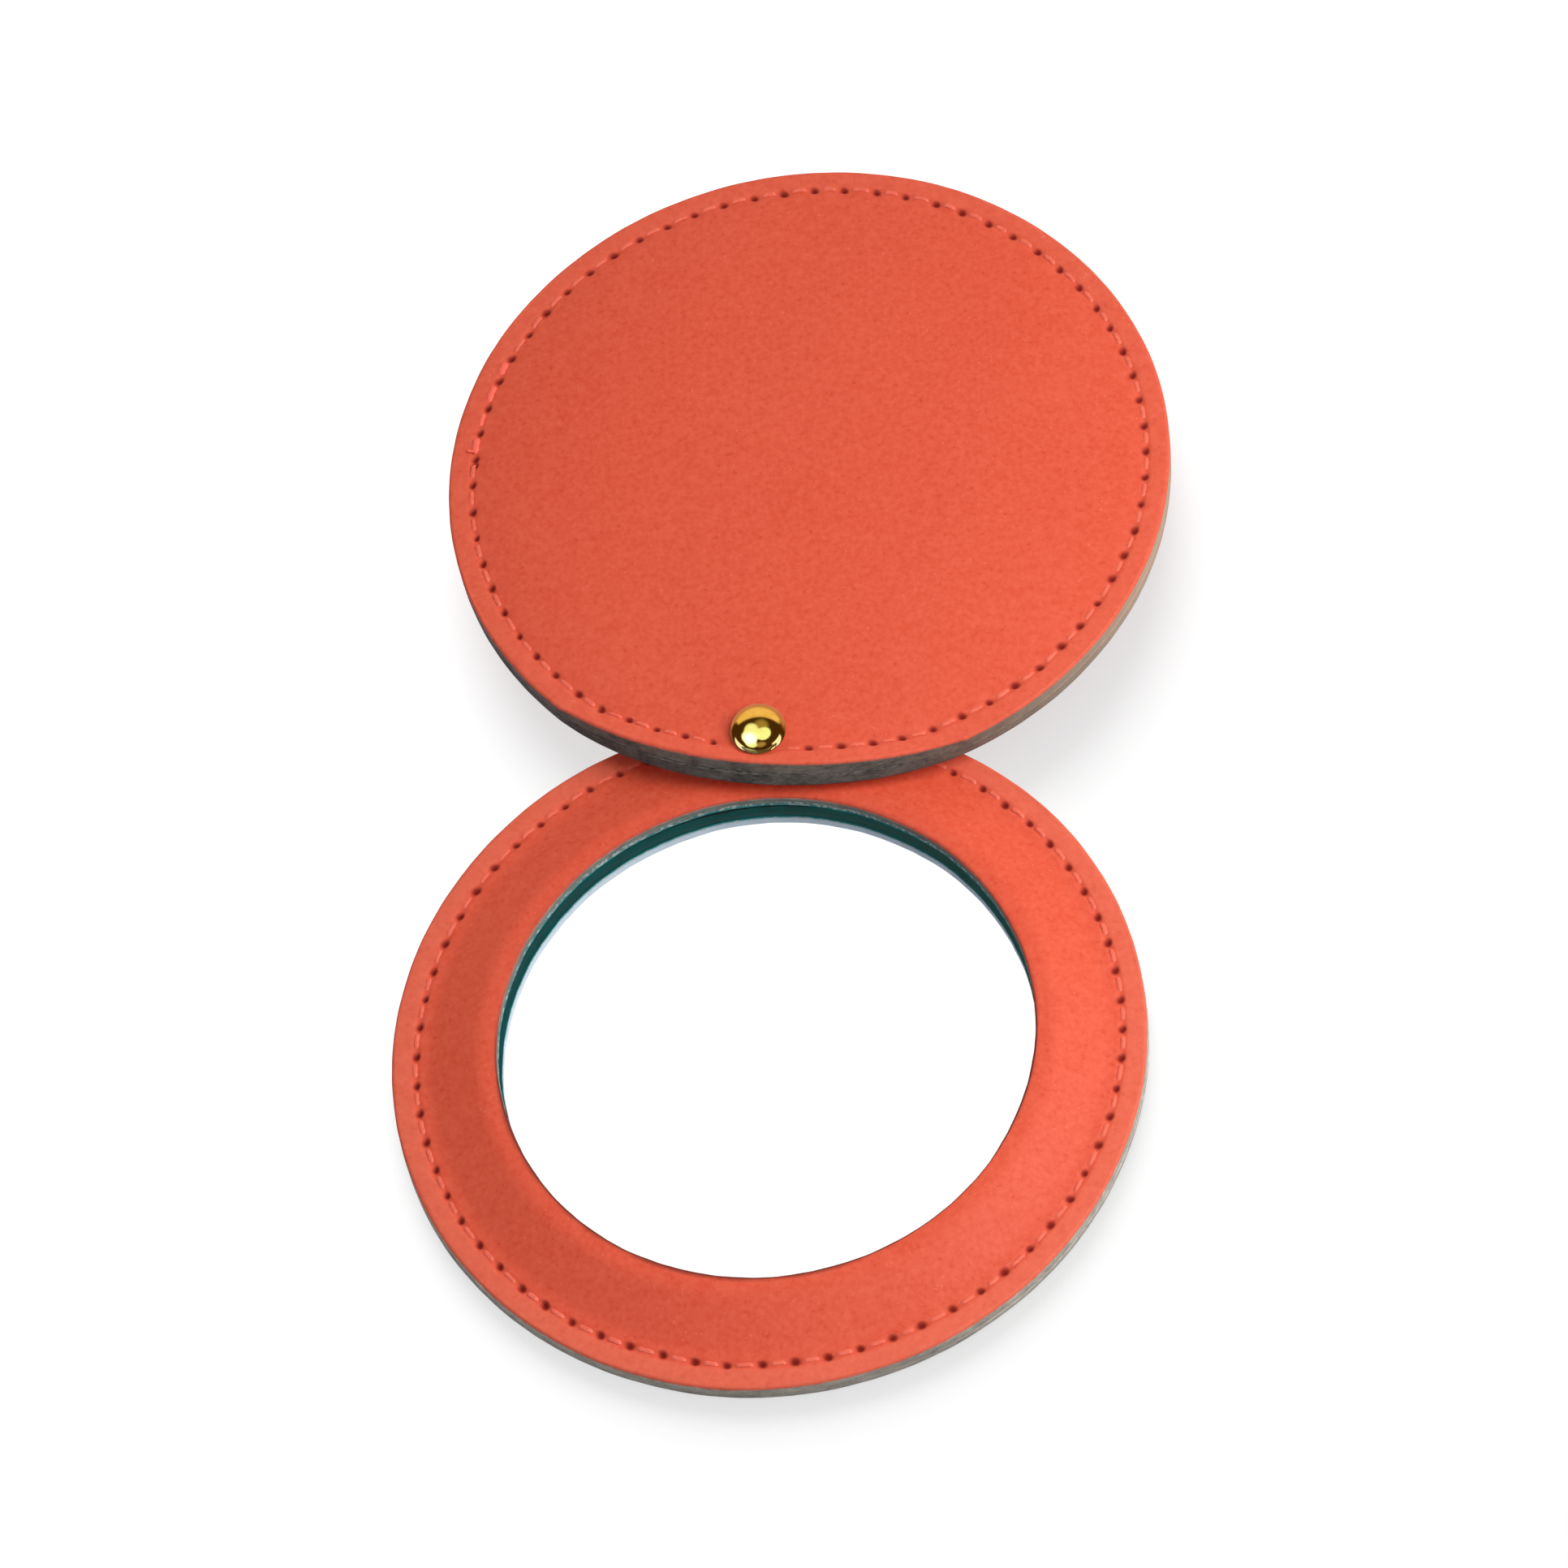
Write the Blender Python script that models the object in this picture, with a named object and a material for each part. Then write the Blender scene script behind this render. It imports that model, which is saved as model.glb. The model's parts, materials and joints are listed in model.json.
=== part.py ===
"""Round leather pocket mirror: two stitched leather leaves that swivel on one domed rivet.

The mirror leaf lies on its flat back, centred on the origin. A round glass mirror is held
between its back leather and a coral ring that is drawn down over the glass to the stitched rim.
The cover leaf swivels on the rivet, in a plane just above the ring. It is modelled open, as an
eight shape, and turns right round until it covers the mirror.

Units are metres, +Z is up, and +Y runs from the centre of the mirror to the rivet.
"""

import math

import bmesh
import bpy

MM = 0.001

# Both leaves
LEAF_RADIUS = 40.0 * MM
HIDE_THICKNESS = 1.6 * MM
EDGE_ROUND = 0.35 * MM
SEAM_BREAK = 0.12 * MM
STITCH_INSET = 2.6 * MM
GROOVE_WIDTH = 1.3 * MM
GROOVE_DEPTH = 0.25 * MM

# Mirror leaf
BACK_THICKNESS = 1.0 * MM
RING_WIDTH = 11.6 * MM
WINDOW_ROUND = 0.3 * MM
GLASS_THICKNESS = 2.0 * MM
GLASS_LAP = 1.2 * MM
GLASS_ARRIS = 0.2 * MM
DRAPE_SET_BACK = 0.15 * MM
DRAPE_BEND_SHARE = 0.2

# Cover leaf
BOARD_THICKNESS = 1.0 * MM
BOARD_TO_BORE = 0.5 * MM
GLUE_FILM = 0.1 * MM
CROWN_POWER = 4
REST_TURN = math.radians(9.2)

# Rivet
PIVOT_INSET = 5.5 * MM
POST_RADIUS = 1.2 * MM
HEAD_FLARE = 0.5 * MM
HEAD_FILM = 0.1 * MM
HEAD_BREAK = 0.15 * MM
BASE_RADIUS = 3.0 * MM
BASE_THICKNESS = 0.45 * MM
BASE_RECESS = 0.1 * MM
BASE_ROUND = 0.2 * MM
CAP_RADIUS = 3.0 * MM
CAP_HEIGHT = 2.2 * MM
CAP_WALL = 0.3 * MM
CAP_ROLL = 0.28 * MM
CAP_LIFT = 0.2 * MM

# Fits
LEAF_GAP = 0.3 * MM
SEAT_GAP = 0.3 * MM
SWIVEL_CLEARANCE = 0.15 * MM
SET_CLEARANCE = 0.1 * MM
CUT_OVERRUN = 1.0 * MM
MERGE_DISTANCE = 0.001 * MM

# Facets
LEAF_FACETS = 60
RIVET_FACETS = 32
ROUND_STEPS = 3
DRAPE_STEPS = 7
CROWN_STEPS = 7
DOME_STEPS = 9
SMOOTH_ANGLE = math.radians(35)

# Colours and finishes
CORAL = (0.80, 0.10, 0.05)
BOARD_GREY = (0.42, 0.40, 0.36)
MIRROR_SILVER = (0.90, 0.92, 0.92)
GOLD = (0.90, 0.62, 0.16)

# Places worked out from the sizes above
STITCH_RADIUS = LEAF_RADIUS - STITCH_INSET
GROOVE_INNER = STITCH_RADIUS - GROOVE_WIDTH / 2
GROOVE_OUTER = STITCH_RADIUS + GROOVE_WIDTH / 2
WINDOW_RADIUS = LEAF_RADIUS - RING_WIDTH
GLASS_RADIUS = WINDOW_RADIUS + GLASS_LAP
PIVOT_REACH = LEAF_RADIUS - PIVOT_INSET

BACK_TOP = BACK_THICKNESS
GLASS_TOP = BACK_TOP + GLASS_THICKNESS
RIM_TOP = BACK_TOP + HIDE_THICKNESS
RING_CROWN = GLASS_TOP + HIDE_THICKNESS

COVER_BOTTOM = RING_CROWN + LEAF_GAP
COVER_SEAM = COVER_BOTTOM + HIDE_THICKNESS
COVER_RIM_TOP = COVER_SEAM + HIDE_THICKNESS
CROWN_RISE = BOARD_THICKNESS + GLUE_FILM

SWIVEL_BORE = POST_RADIUS + SWIVEL_CLEARANCE
SET_BORE = POST_RADIUS + SET_CLEARANCE
BOARD_RADIUS = PIVOT_REACH - SWIVEL_BORE - BOARD_TO_BORE
CAP_SEAT = COVER_RIM_TOP + CAP_LIFT
CAP_UNDERSIDE = CAP_SEAT + SEAT_GAP
CAP_FLOOR = CAP_UNDERSIDE + CAP_WALL
CAP_APEX = CAP_UNDERSIDE + CAP_HEIGHT
BASE_TOP = BASE_RECESS + BASE_THICKNESS


def clear_scene():
    for item in list(bpy.data.objects):
        bpy.data.objects.remove(item, do_unlink=True)


def plain_material(name, colour, roughness, metallic):
    material = bpy.data.materials.new(name)
    material.use_nodes = True
    shader = material.node_tree.nodes["Principled BSDF"]
    shader.inputs["Base Color"].default_value = (*colour, 1.0)
    shader.inputs["Roughness"].default_value = roughness
    shader.inputs["Metallic"].default_value = metallic
    return material


def arc(centre_radius, centre_height, radius, start, end, steps=ROUND_STEPS):
    """Points of a circular arc in a profile, from one angle in degrees to another."""
    points = []
    for step in range(steps + 1):
        angle = math.radians(start + (end - start) * step / steps)
        points.append((centre_radius + radius * math.cos(angle), centre_height + radius * math.sin(angle)))
    return points


def spread(start, end, steps):
    """Evenly spaced values from start to end, both included."""
    return [start + (end - start) * step / steps for step in range(steps + 1)]


def add_object(name, mesh, material):
    mesh.shade_smooth()
    mesh.set_sharp_from_angle(angle=SMOOTH_ANGLE)
    mesh.materials.append(material)
    item = bpy.data.objects.new(name, mesh)
    bpy.context.scene.collection.objects.link(item)
    return item


def turned(name, profile, facets, material):
    """A turned piece. The profile is a closed outline of (radius, height) points.

    An edge that would lie on the axis is left out, so an outline that starts and ends on the
    axis gives a solid with a point there.
    """
    shape = bmesh.new()
    corners = [shape.verts.new((radius, 0.0, height)) for radius, height in profile]
    for first, second in zip(corners, corners[1:] + corners[:1]):
        if first.co.x > 0 or second.co.x > 0:
            shape.edges.new((first, second))
    bmesh.ops.spin(
        shape,
        geom=shape.verts[:] + shape.edges[:],
        cent=(0.0, 0.0, 0.0),
        axis=(0.0, 0.0, 1.0),
        angle=2 * math.pi,
        steps=facets,
        use_merge=True,
    )
    bmesh.ops.remove_doubles(shape, verts=shape.verts[:], dist=MERGE_DISTANCE)
    bmesh.ops.recalc_face_normals(shape, faces=shape.faces[:])
    mesh = bpy.data.meshes.new(name)
    shape.to_mesh(mesh)
    shape.free()
    return add_object(name, mesh, material)


def cylinder_cutter(name, radius, bottom, top, place):
    """A guide cylinder that cuts a bore or a seat. It isn't part of the object."""
    shape = bmesh.new()
    bmesh.ops.create_cone(
        shape,
        cap_ends=True,
        segments=RIVET_FACETS,
        radius1=radius,
        radius2=radius,
        depth=top - bottom,
    )
    bmesh.ops.translate(shape, verts=shape.verts[:], vec=(0.0, place, (top + bottom) / 2))
    mesh = bpy.data.meshes.new(name)
    shape.to_mesh(mesh)
    shape.free()
    cutter = bpy.data.objects.new(name, mesh)
    bpy.context.scene.collection.objects.link(cutter)
    cutter.hide_render = True
    cutter.display_type = "WIRE"
    return cutter


def cut(item, cutter):
    modifier = item.modifiers.new(cutter.name, "BOOLEAN")
    modifier.operation = "DIFFERENCE"
    modifier.solver = "EXACT"
    modifier.object = cutter


def rim_wall(seam, outer_face, turn_up):
    """The cut edge of one leather, from its seam face to its outer face.

    turn_up is 1 where the outer face is the upper one, and -1 where it is the lower one.
    """
    points = [(LEAF_RADIUS - SEAM_BREAK, seam), (LEAF_RADIUS, seam + turn_up * SEAM_BREAK)]
    points += arc(
        LEAF_RADIUS - EDGE_ROUND,
        outer_face - turn_up * EDGE_ROUND,
        EDGE_ROUND,
        0,
        turn_up * 90,
    )
    return points


def stitch_groove(outer_face, turn_up):
    """The shallow groove that the stitches draw into a face, from its outer to its inner lip."""
    points = []
    for step in range(2 * ROUND_STEPS + 1):
        phase = step / (2 * ROUND_STEPS)
        radius = GROOVE_OUTER - GROOVE_WIDTH * phase
        depth = GROOVE_DEPTH * math.sin(math.pi * phase) ** 2
        points.append((radius, outer_face - turn_up * depth))
    return points


def ease(share):
    """From 0 to 1, straight in the middle and rounded at both ends."""
    bend = DRAPE_BEND_SHARE
    slope = 1 / (1 - bend)
    if share < bend:
        return slope * share * share / (2 * bend)
    if share > 1 - bend:
        return 1 - slope * (1 - share) * (1 - share) / (2 * bend)
    return slope * (share - bend / 2)


def drape(rim_height):
    """A face of the ring from the rim to the edge of the glass, as the leather is drawn over it."""
    inner = GLASS_RADIUS + DRAPE_SET_BACK
    points = []
    for share in spread(0, 1, DRAPE_STEPS):
        radius = GROOVE_INNER + (inner - GROOVE_INNER) * share
        points.append((radius, rim_height + GLASS_THICKNESS * ease(share)))
    return points


def crown(rim_height, rise, outer_radius):
    """A face of the cover from a radius to the centre, swelling gently over the board."""
    points = []
    for share in spread(0, 1, CROWN_STEPS):
        radius = outer_radius * (1 - share)
        swell = 1 - (radius / GROOVE_INNER) ** CROWN_POWER
        points.append((radius, rim_height + rise * swell))
    return points


def back_leather(name, bottom, top, material):
    """A flat leather disc, finished side down, with the stitch groove in its lower face."""
    groove = stitch_groove(bottom, -1)
    wall = rim_wall(top, bottom, -1)
    profile = [(0, top)] + wall + groove + [(0, bottom)]
    return turned(name, profile, LEAF_FACETS, material)


def mirror_front_ring(material):
    """The coral ring: it rests on the glass round the window and is drawn down to the rim."""
    underside = list(reversed(drape(BACK_TOP)))
    top = drape(RIM_TOP)
    window = arc(WINDOW_RADIUS + WINDOW_ROUND, RING_CROWN - WINDOW_ROUND, WINDOW_ROUND, 90, 180)
    profile = [(WINDOW_RADIUS, GLASS_TOP)]
    profile += underside
    profile += rim_wall(BACK_TOP, RIM_TOP, 1)
    profile += stitch_groove(RIM_TOP, 1)[:-1]
    profile += top
    profile += window
    return turned("mirror_front_ring", profile, LEAF_FACETS, material)


def mirror_glass(material):
    """The round glass mirror, with its sharp edges ground off."""
    profile = [
        (0, BACK_TOP),
        (GLASS_RADIUS - GLASS_ARRIS, BACK_TOP),
        (GLASS_RADIUS, BACK_TOP + GLASS_ARRIS),
        (GLASS_RADIUS, GLASS_TOP - GLASS_ARRIS),
        (GLASS_RADIUS - GLASS_ARRIS, GLASS_TOP),
        (0, GLASS_TOP),
    ]
    return turned("mirror_glass", profile, LEAF_FACETS, material)


def cover_front_leather(material):
    """The crowned coral face of the cover, with its stitched rim."""
    profile = list(reversed(crown(COVER_SEAM, CROWN_RISE, GROOVE_INNER)))
    profile += rim_wall(COVER_SEAM, COVER_RIM_TOP, 1)
    profile += stitch_groove(COVER_RIM_TOP, 1)[:-1]
    profile += crown(COVER_RIM_TOP, CROWN_RISE, GROOVE_INNER)
    return turned("cover_front_leather", profile, LEAF_FACETS, material)


def cover_stiffener(material):
    """The pressed board inside the cover, skived towards its edge, with a glue film above it."""
    face = crown(COVER_SEAM - GLUE_FILM, CROWN_RISE, BOARD_RADIUS)
    profile = [(0, COVER_SEAM), (BOARD_RADIUS, COVER_SEAM)] + face
    return turned("cover_stiffener", profile, LEAF_FACETS, material)


def dome_height(radius, dome_radius, dome_rise):
    """Height of a dome above its spring line, at a distance from its axis."""
    return dome_rise * math.sqrt(max(0.0, 1 - (radius / dome_radius) ** 2))


def dome(spring_height, dome_radius, dome_rise):
    """The outline of a dome from its spring line to its axis."""
    points = []
    for angle in spread(0, math.pi / 2, DOME_STEPS):
        radius = dome_radius * math.cos(angle)
        points.append((radius, spring_height + dome_rise * math.sin(angle)))
    points[-1] = (0, spring_height + dome_rise)
    return points


def rivet_cap(material):
    """The hollow domed cap. Its floor is rolled in under the dome and grips the post's head."""
    spring = CAP_UNDERSIDE + CAP_ROLL
    roll = arc(CAP_RADIUS - CAP_ROLL, spring, CAP_ROLL, -90, 0)
    outside = dome(spring, CAP_RADIUS, CAP_APEX - spring)
    inside = dome(CAP_FLOOR, CAP_RADIUS - CAP_WALL, CAP_APEX - CAP_WALL - CAP_FLOOR)
    profile = [(SET_BORE, CAP_UNDERSIDE)] + roll[:-1] + outside
    profile += list(reversed(inside)) + [(SET_BORE, CAP_FLOOR)]
    return turned("rivet_cap", profile, RIVET_FACETS, material)


def rivet_post(material):
    """The post: a flat base let into the back leather, a shank, and a head spread in the cap."""
    head_radius = POST_RADIUS + HEAD_FLARE
    head_bottom = CAP_FLOOR + HEAD_FILM
    inner_rise = CAP_APEX - CAP_WALL - CAP_FLOOR
    cavity = CAP_FLOOR + dome_height(head_radius, CAP_RADIUS - CAP_WALL, inner_rise)
    head_top = cavity - HEAD_FILM
    profile = [(0, BASE_RECESS)]
    profile += arc(BASE_RADIUS - BASE_ROUND, BASE_RECESS + BASE_ROUND, BASE_ROUND, -90, 0)
    profile += [
        (BASE_RADIUS, BASE_TOP),
        (POST_RADIUS, BASE_TOP),
        (POST_RADIUS, head_bottom),
        (head_radius, head_bottom + HEAD_BREAK),
        (head_radius, head_top - HEAD_BREAK),
        (head_radius - HEAD_BREAK, head_top),
        (0, head_top),
    ]
    return turned("rivet_post", profile, RIVET_FACETS, material)


def build():
    clear_scene()
    coral_ring = plain_material("coral_ring_leather", CORAL, 0.55, 0.0)
    coral_back = plain_material("coral_back_leather", CORAL, 0.55, 0.0)
    coral_cover = plain_material("coral_cover_leather", CORAL, 0.55, 0.0)
    coral_lining = plain_material("coral_lining_leather", CORAL, 0.55, 0.0)
    board = plain_material("grey_board", BOARD_GREY, 0.9, 0.0)
    silvered = plain_material("silvered_glass", MIRROR_SILVER, 0.02, 1.0)
    gold_cap = plain_material("gold_cap", GOLD, 0.12, 1.0)
    gold_post = plain_material("gold_post", GOLD, 0.25, 1.0)

    # Mirror leaf, which stays where it lies
    back = back_leather("mirror_back_leather", 0.0, BACK_TOP, coral_back)
    ring = mirror_front_ring(coral_ring)
    mirror_glass(silvered)
    set_bore = cylinder_cutter(
        "guide_set_bore", SET_BORE, -CUT_OVERRUN, RING_CROWN + CUT_OVERRUN, PIVOT_REACH
    )
    base_seat = cylinder_cutter(
        "guide_base_seat", BASE_RADIUS + SET_CLEARANCE, -CUT_OVERRUN, BASE_TOP, PIVOT_REACH
    )
    cut(back, set_bore)
    cut(back, base_seat)
    cut(ring, set_bore)

    # Rivet, set fast through the mirror leaf
    for piece in (rivet_post(gold_post), rivet_cap(gold_cap)):
        piece.location = (0.0, PIVOT_REACH, 0.0)

    # Cover leaf, carried by an empty on the rivet's axis
    swivel = bpy.data.objects.new("cover_swivel_axis", None)
    bpy.context.scene.collection.objects.link(swivel)
    swivel.location = (0.0, PIVOT_REACH, 0.0)
    swivel.rotation_euler = (0.0, 0.0, -REST_TURN)
    lining = back_leather("cover_back_leather", COVER_BOTTOM, COVER_SEAM, coral_lining)
    face = cover_front_leather(coral_cover)
    stiffener = cover_stiffener(board)
    cover_bore = cylinder_cutter(
        "guide_cover_bore", SWIVEL_BORE, COVER_BOTTOM - CUT_OVERRUN, CAP_APEX + CUT_OVERRUN, -PIVOT_REACH
    )
    cap_seat = cylinder_cutter(
        "guide_cap_seat", CAP_RADIUS + SEAT_GAP, CAP_SEAT, CAP_APEX + CUT_OVERRUN, -PIVOT_REACH
    )
    cut(lining, cover_bore)
    cut(face, cover_bore)
    cut(face, cap_seat)
    for piece in (lining, face, stiffener, cover_bore, cap_seat):
        piece.parent = swivel
        piece.location = (0.0, PIVOT_REACH, 0.0)


build()
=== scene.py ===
"""Looks of the round leather pocket mirror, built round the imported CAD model.

Units are metres, +Z is up, and +Y runs from the centre of the mirror to the rivet. Every piece is
built in the place it has at rest, and rides on the body that carries it.
"""

import json
import math

import bmesh
import bpy
import numpy as np
from mathutils import Matrix, Vector


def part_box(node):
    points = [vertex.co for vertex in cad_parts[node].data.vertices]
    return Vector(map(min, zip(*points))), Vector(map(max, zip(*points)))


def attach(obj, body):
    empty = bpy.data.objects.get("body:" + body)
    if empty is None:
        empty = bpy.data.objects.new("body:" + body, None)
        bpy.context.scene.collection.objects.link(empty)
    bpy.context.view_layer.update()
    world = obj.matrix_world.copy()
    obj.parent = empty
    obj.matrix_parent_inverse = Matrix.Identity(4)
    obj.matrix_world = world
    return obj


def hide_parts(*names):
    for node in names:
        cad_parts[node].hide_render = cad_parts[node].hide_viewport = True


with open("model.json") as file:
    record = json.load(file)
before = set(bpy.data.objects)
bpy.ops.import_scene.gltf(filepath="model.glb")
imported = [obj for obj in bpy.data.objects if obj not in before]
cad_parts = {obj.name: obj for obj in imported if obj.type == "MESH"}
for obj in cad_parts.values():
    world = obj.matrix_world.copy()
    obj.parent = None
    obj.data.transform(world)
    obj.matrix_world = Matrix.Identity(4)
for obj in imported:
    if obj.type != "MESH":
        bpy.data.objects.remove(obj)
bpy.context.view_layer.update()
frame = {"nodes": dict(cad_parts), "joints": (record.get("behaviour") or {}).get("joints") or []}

MM = 0.001

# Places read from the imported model
_, back_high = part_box("mirror_back_leather")
_, ring_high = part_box("mirror_front_ring")
_, glass_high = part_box("mirror_glass")
lining_low, lining_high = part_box("cover_back_leather")
face_low, face_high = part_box("cover_front_leather")
cap_low, cap_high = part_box("rivet_cap")
post_low, post_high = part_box("rivet_post")
pivot = Vector(frame["joints"][0]["pos_m"])

LEAF_RADIUS = back_high.x
BACK_TOP = back_high.z
RING_CROWN = ring_high.z
GLASS_TOP = glass_high.z
GLASS_RADIUS = glass_high.x
HIDE = RING_CROWN - GLASS_TOP
RIM_TOP = BACK_TOP + HIDE
COVER_BOTTOM = lining_low.z
COVER_SEAM = lining_high.z
COVER_RIM_TOP = COVER_SEAM + HIDE
CROWN_RISE = face_high.z - COVER_RIM_TOP
CAP_UNDERSIDE = cap_low.z
CAP_APEX = cap_high.z
CAP_RADIUS = (cap_high.x - cap_low.x) / 2
BASE_RADIUS = (post_high.x - post_low.x) / 2
MIRROR_CENTRE = np.array([0.0, 0.0])
COVER_CENTRE = np.array([(face_low.x + face_high.x) / 2, (face_low.y + face_high.y) / 2])
PIVOT = np.array([pivot.x, pivot.y])

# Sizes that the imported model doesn't state in its boxes
EDGE_ROUND = 0.35 * MM
SEAM_BREAK = 0.12 * MM
STITCH_RADIUS = LEAF_RADIUS - 2.6 * MM
GROOVE_HALF = 0.65 * MM
GROOVE_DEPTH = 0.25 * MM
GROOVE_INNER = STITCH_RADIUS - GROOVE_HALF
WINDOW_RADIUS = LEAF_RADIUS - 11.6 * MM
WINDOW_ROUND = 0.3 * MM
DRAPE_INNER = GLASS_RADIUS + 0.15 * MM
DRAPE_BEND = 0.2
CROWN_POWER = 4
POST_RADIUS = 1.2 * MM
SET_BORE = POST_RADIUS + 0.1 * MM
SWIVEL_BORE = POST_RADIUS + 0.15 * MM
BASE_TOP = 0.55 * MM
CAP_SEAT = CAP_UNDERSIDE - 0.1 * MM
CAP_WALL = 0.3 * MM
CAP_ROLL = 0.28 * MM

# Stitching
STITCHES = 68
COLUMNS_PER_STITCH = 20
COLUMN_BUNCHING = 0.62
SEAM_INSET = 0.06 * MM
GROOVE_SHARE = 0.3
HOLE_LONG = 0.43 * MM
HOLE_SHORT = 0.34 * MM
HOLE_SLANT = math.radians(24)
# From where to where a hole's slope and its painted shade run, in shares of its oval
HOLE_SLOPE = (0.4, 1.3)
HOLE_SHADE_SLOPE = (0.2, 2.2)
HOLE_SHADE_POWER = 1.5
HOLE_DEPTH = 0.20 * MM
BACK_HOLE_DEPTH = 0.45 * MM
LINING_HOLE_DEPTH = 0.6 * MM
DIMPLE_DEPTH = 0.10 * MM
DIMPLE_SPREAD = 0.62 * MM
THREAD_WIDTH = 0.56 * MM
THREAD_THICK = 0.20 * MM
THREAD_BOW = 0.12 * MM
THREAD_SHIFT = 0.18 * MM
THREAD_INSET = 0.27 * MM
THREAD_SIDES = 12
THREAD_LOBES = 3
LOBE_DEPTH = 0.13
STITCH_STEPS = 24
THREAD_SEED = 1
TWIST = 7.5 / MM
END_WIDTH = 0.42
END_THICK = 0.55
SECOND_HOLE = 0.78 * MM
NEEDLE_LIFT = -0.06 * MM
NEEDLE_DIVE = 0.5 * MM
BOBBIN_LIFT = -0.16 * MM

# The loose end of one melted stitch
LOOSE_END = 31
TAIL_PLACE = 0.7
TAIL_LENGTH = 0.9 * MM
TAIL_WIDTH = 0.52 * MM
TAIL_TAPER = 0.45
TAIL_FLAT = 0.7
TAIL_LIFT = 0.08 * MM
TAIL_RAISE = 0.12 * MM

# How much the stitches stray, as standard deviations
ANGLE_STRAY = math.radians(0.16)
RADIUS_STRAY = 0.05 * MM
SLANT_STRAY = math.radians(14)
SIZE_STRAY = 0.09
DEPTH_STRAY = 0.12
WIDTH_STRAY = 0.05
SLACK_STRAY = 0.012 * MM


def srgb(red, green, blue):
    """A colour written as 0 to 255 screen values, as the linear values that shaders use."""
    out = []
    for value in (red, green, blue):
        share = value / 255
        out.append(share / 12.92 if share <= 0.04045 else ((share + 0.055) / 1.055) ** 2.4)
    return (*out, 1.0)


def smooth(values, low, high):
    """0 below low, 1 above high and an easy curve between."""
    share = np.clip((np.asarray(values, float) - low) / (high - low), 0, 1)
    return share * share * (3 - 2 * share)


# Shapes


class Skin:
    """A surface made of rings of points round an upright axis."""

    def __init__(self, centre, angles):
        self.centre = centre
        self.angles = angles
        self.points = []
        self.faces = []
        self.total = 0

    def ring(self, radius, height, step=1):
        angles = self.angles[::step]
        radii = np.full(len(angles), radius(angles) if callable(radius) else radius, float)
        heights = np.full(len(angles), height(radii, angles) if callable(height) else height, float)
        x = self.centre[0] + radii * np.cos(angles)
        y = self.centre[1] + radii * np.sin(angles)
        return self.keep(np.stack([x, y, heights], axis=1))

    def spot(self, height):
        level = height(np.zeros(1), np.zeros(1))[0] if callable(height) else height
        return self.keep(np.array([[self.centre[0], self.centre[1], level]]))

    def keep(self, spots):
        index = np.arange(self.total, self.total + len(spots))
        self.points.append(spots)
        self.total += len(spots)
        return index

    def join(self, first, second):
        """A band of faces between two rings. One may have a whole number of times more points."""
        if len(first) < len(second):
            first, second = second, first
        count = len(first)
        if len(second) in (1, count):
            for place in range(count):
                after = (place + 1) % count
                far_side = (second[0],) if len(second) == 1 else (second[after], second[place])
                self.faces.append((first[place], first[after], *far_side))
            return
        ratio = count // len(second)
        half = ratio // 2
        for place in range(len(second)):
            start = place * ratio
            for step in range(-(ratio - half), half):
                left = first[(start + step) % count]
                right = first[(start + step + 1) % count]
                self.faces.append((left, right, second[place]))
            turn = first[(start + half) % count]
            self.faces.append((turn, second[(place + 1) % len(second)], second[place]))

    def band(self, rings):
        for first, second in zip(rings, rings[1:]):
            self.join(first, second)

    def mesh(self, name):
        return closed_mesh(name, np.concatenate(self.points), self.faces)


def closed_mesh(name, points, faces):
    mesh = bpy.data.meshes.new(name)
    corners = [tuple(int(index) for index in face) for face in faces]
    mesh.from_pydata([tuple(point) for point in points], [], corners)
    shape = bmesh.new()
    shape.from_mesh(mesh)
    bmesh.ops.recalc_face_normals(shape, faces=shape.faces[:])
    shape.to_mesh(mesh)
    shape.free()
    return mesh


def placed(name, data):
    """A new object in the scene."""
    item = bpy.data.objects.new(name, data)
    bpy.context.scene.collection.objects.link(item)
    return item


def add_piece(name, mesh, material, body, replaced, sharp=40):
    """Puts a mesh in the scene. Edges sharper than this, in degrees, stay crisp."""
    mesh.shade_smooth()
    mesh.set_sharp_from_angle(angle=math.radians(sharp))
    mesh.materials.clear()
    mesh.materials.append(material)
    piece = placed(name, mesh)
    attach(piece, body)
    if replaced:
        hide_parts(*replaced)


BORE_SIDES = 64


def cylinder(name, radius, bottom, top):
    """A cutter round the rivet's axis."""
    shape = bmesh.new()
    bmesh.ops.create_cone(
        shape, cap_ends=True, segments=BORE_SIDES, radius1=radius, radius2=radius, depth=top - bottom
    )
    bmesh.ops.translate(shape, verts=shape.verts[:], vec=(*PIVOT, (top + bottom) / 2))
    mesh = bpy.data.meshes.new(name)
    shape.to_mesh(mesh)
    shape.free()
    return placed(name, mesh)


def bored(mesh, cutters):
    """The mesh with each cutter taken out of it. The cutters are removed again."""
    item = placed("bored", mesh)
    for cutter in cutters:
        modifier = item.modifiers.new(cutter.name, "BOOLEAN")
        modifier.operation = "DIFFERENCE"
        modifier.solver = "EXACT"
        modifier.object = cutter
    bpy.context.view_layer.update()
    graph = bpy.context.evaluated_depsgraph_get()
    result = bpy.data.meshes.new_from_object(item.evaluated_get(graph))
    result.name = mesh.name
    bpy.data.objects.remove(item, do_unlink=True)
    for cutter in cutters:
        bpy.data.objects.remove(cutter, do_unlink=True)
    return result


def positions(mesh):
    spots = np.zeros(len(mesh.vertices) * 3)
    mesh.vertices.foreach_get("co", spots)
    return spots.reshape(-1, 3)


def paint(mesh, name, values):
    layer = mesh.attributes.new(name, "FLOAT", "POINT")
    layer.data.foreach_set("value", np.clip(values, 0, 1).astype(np.float32))


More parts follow.
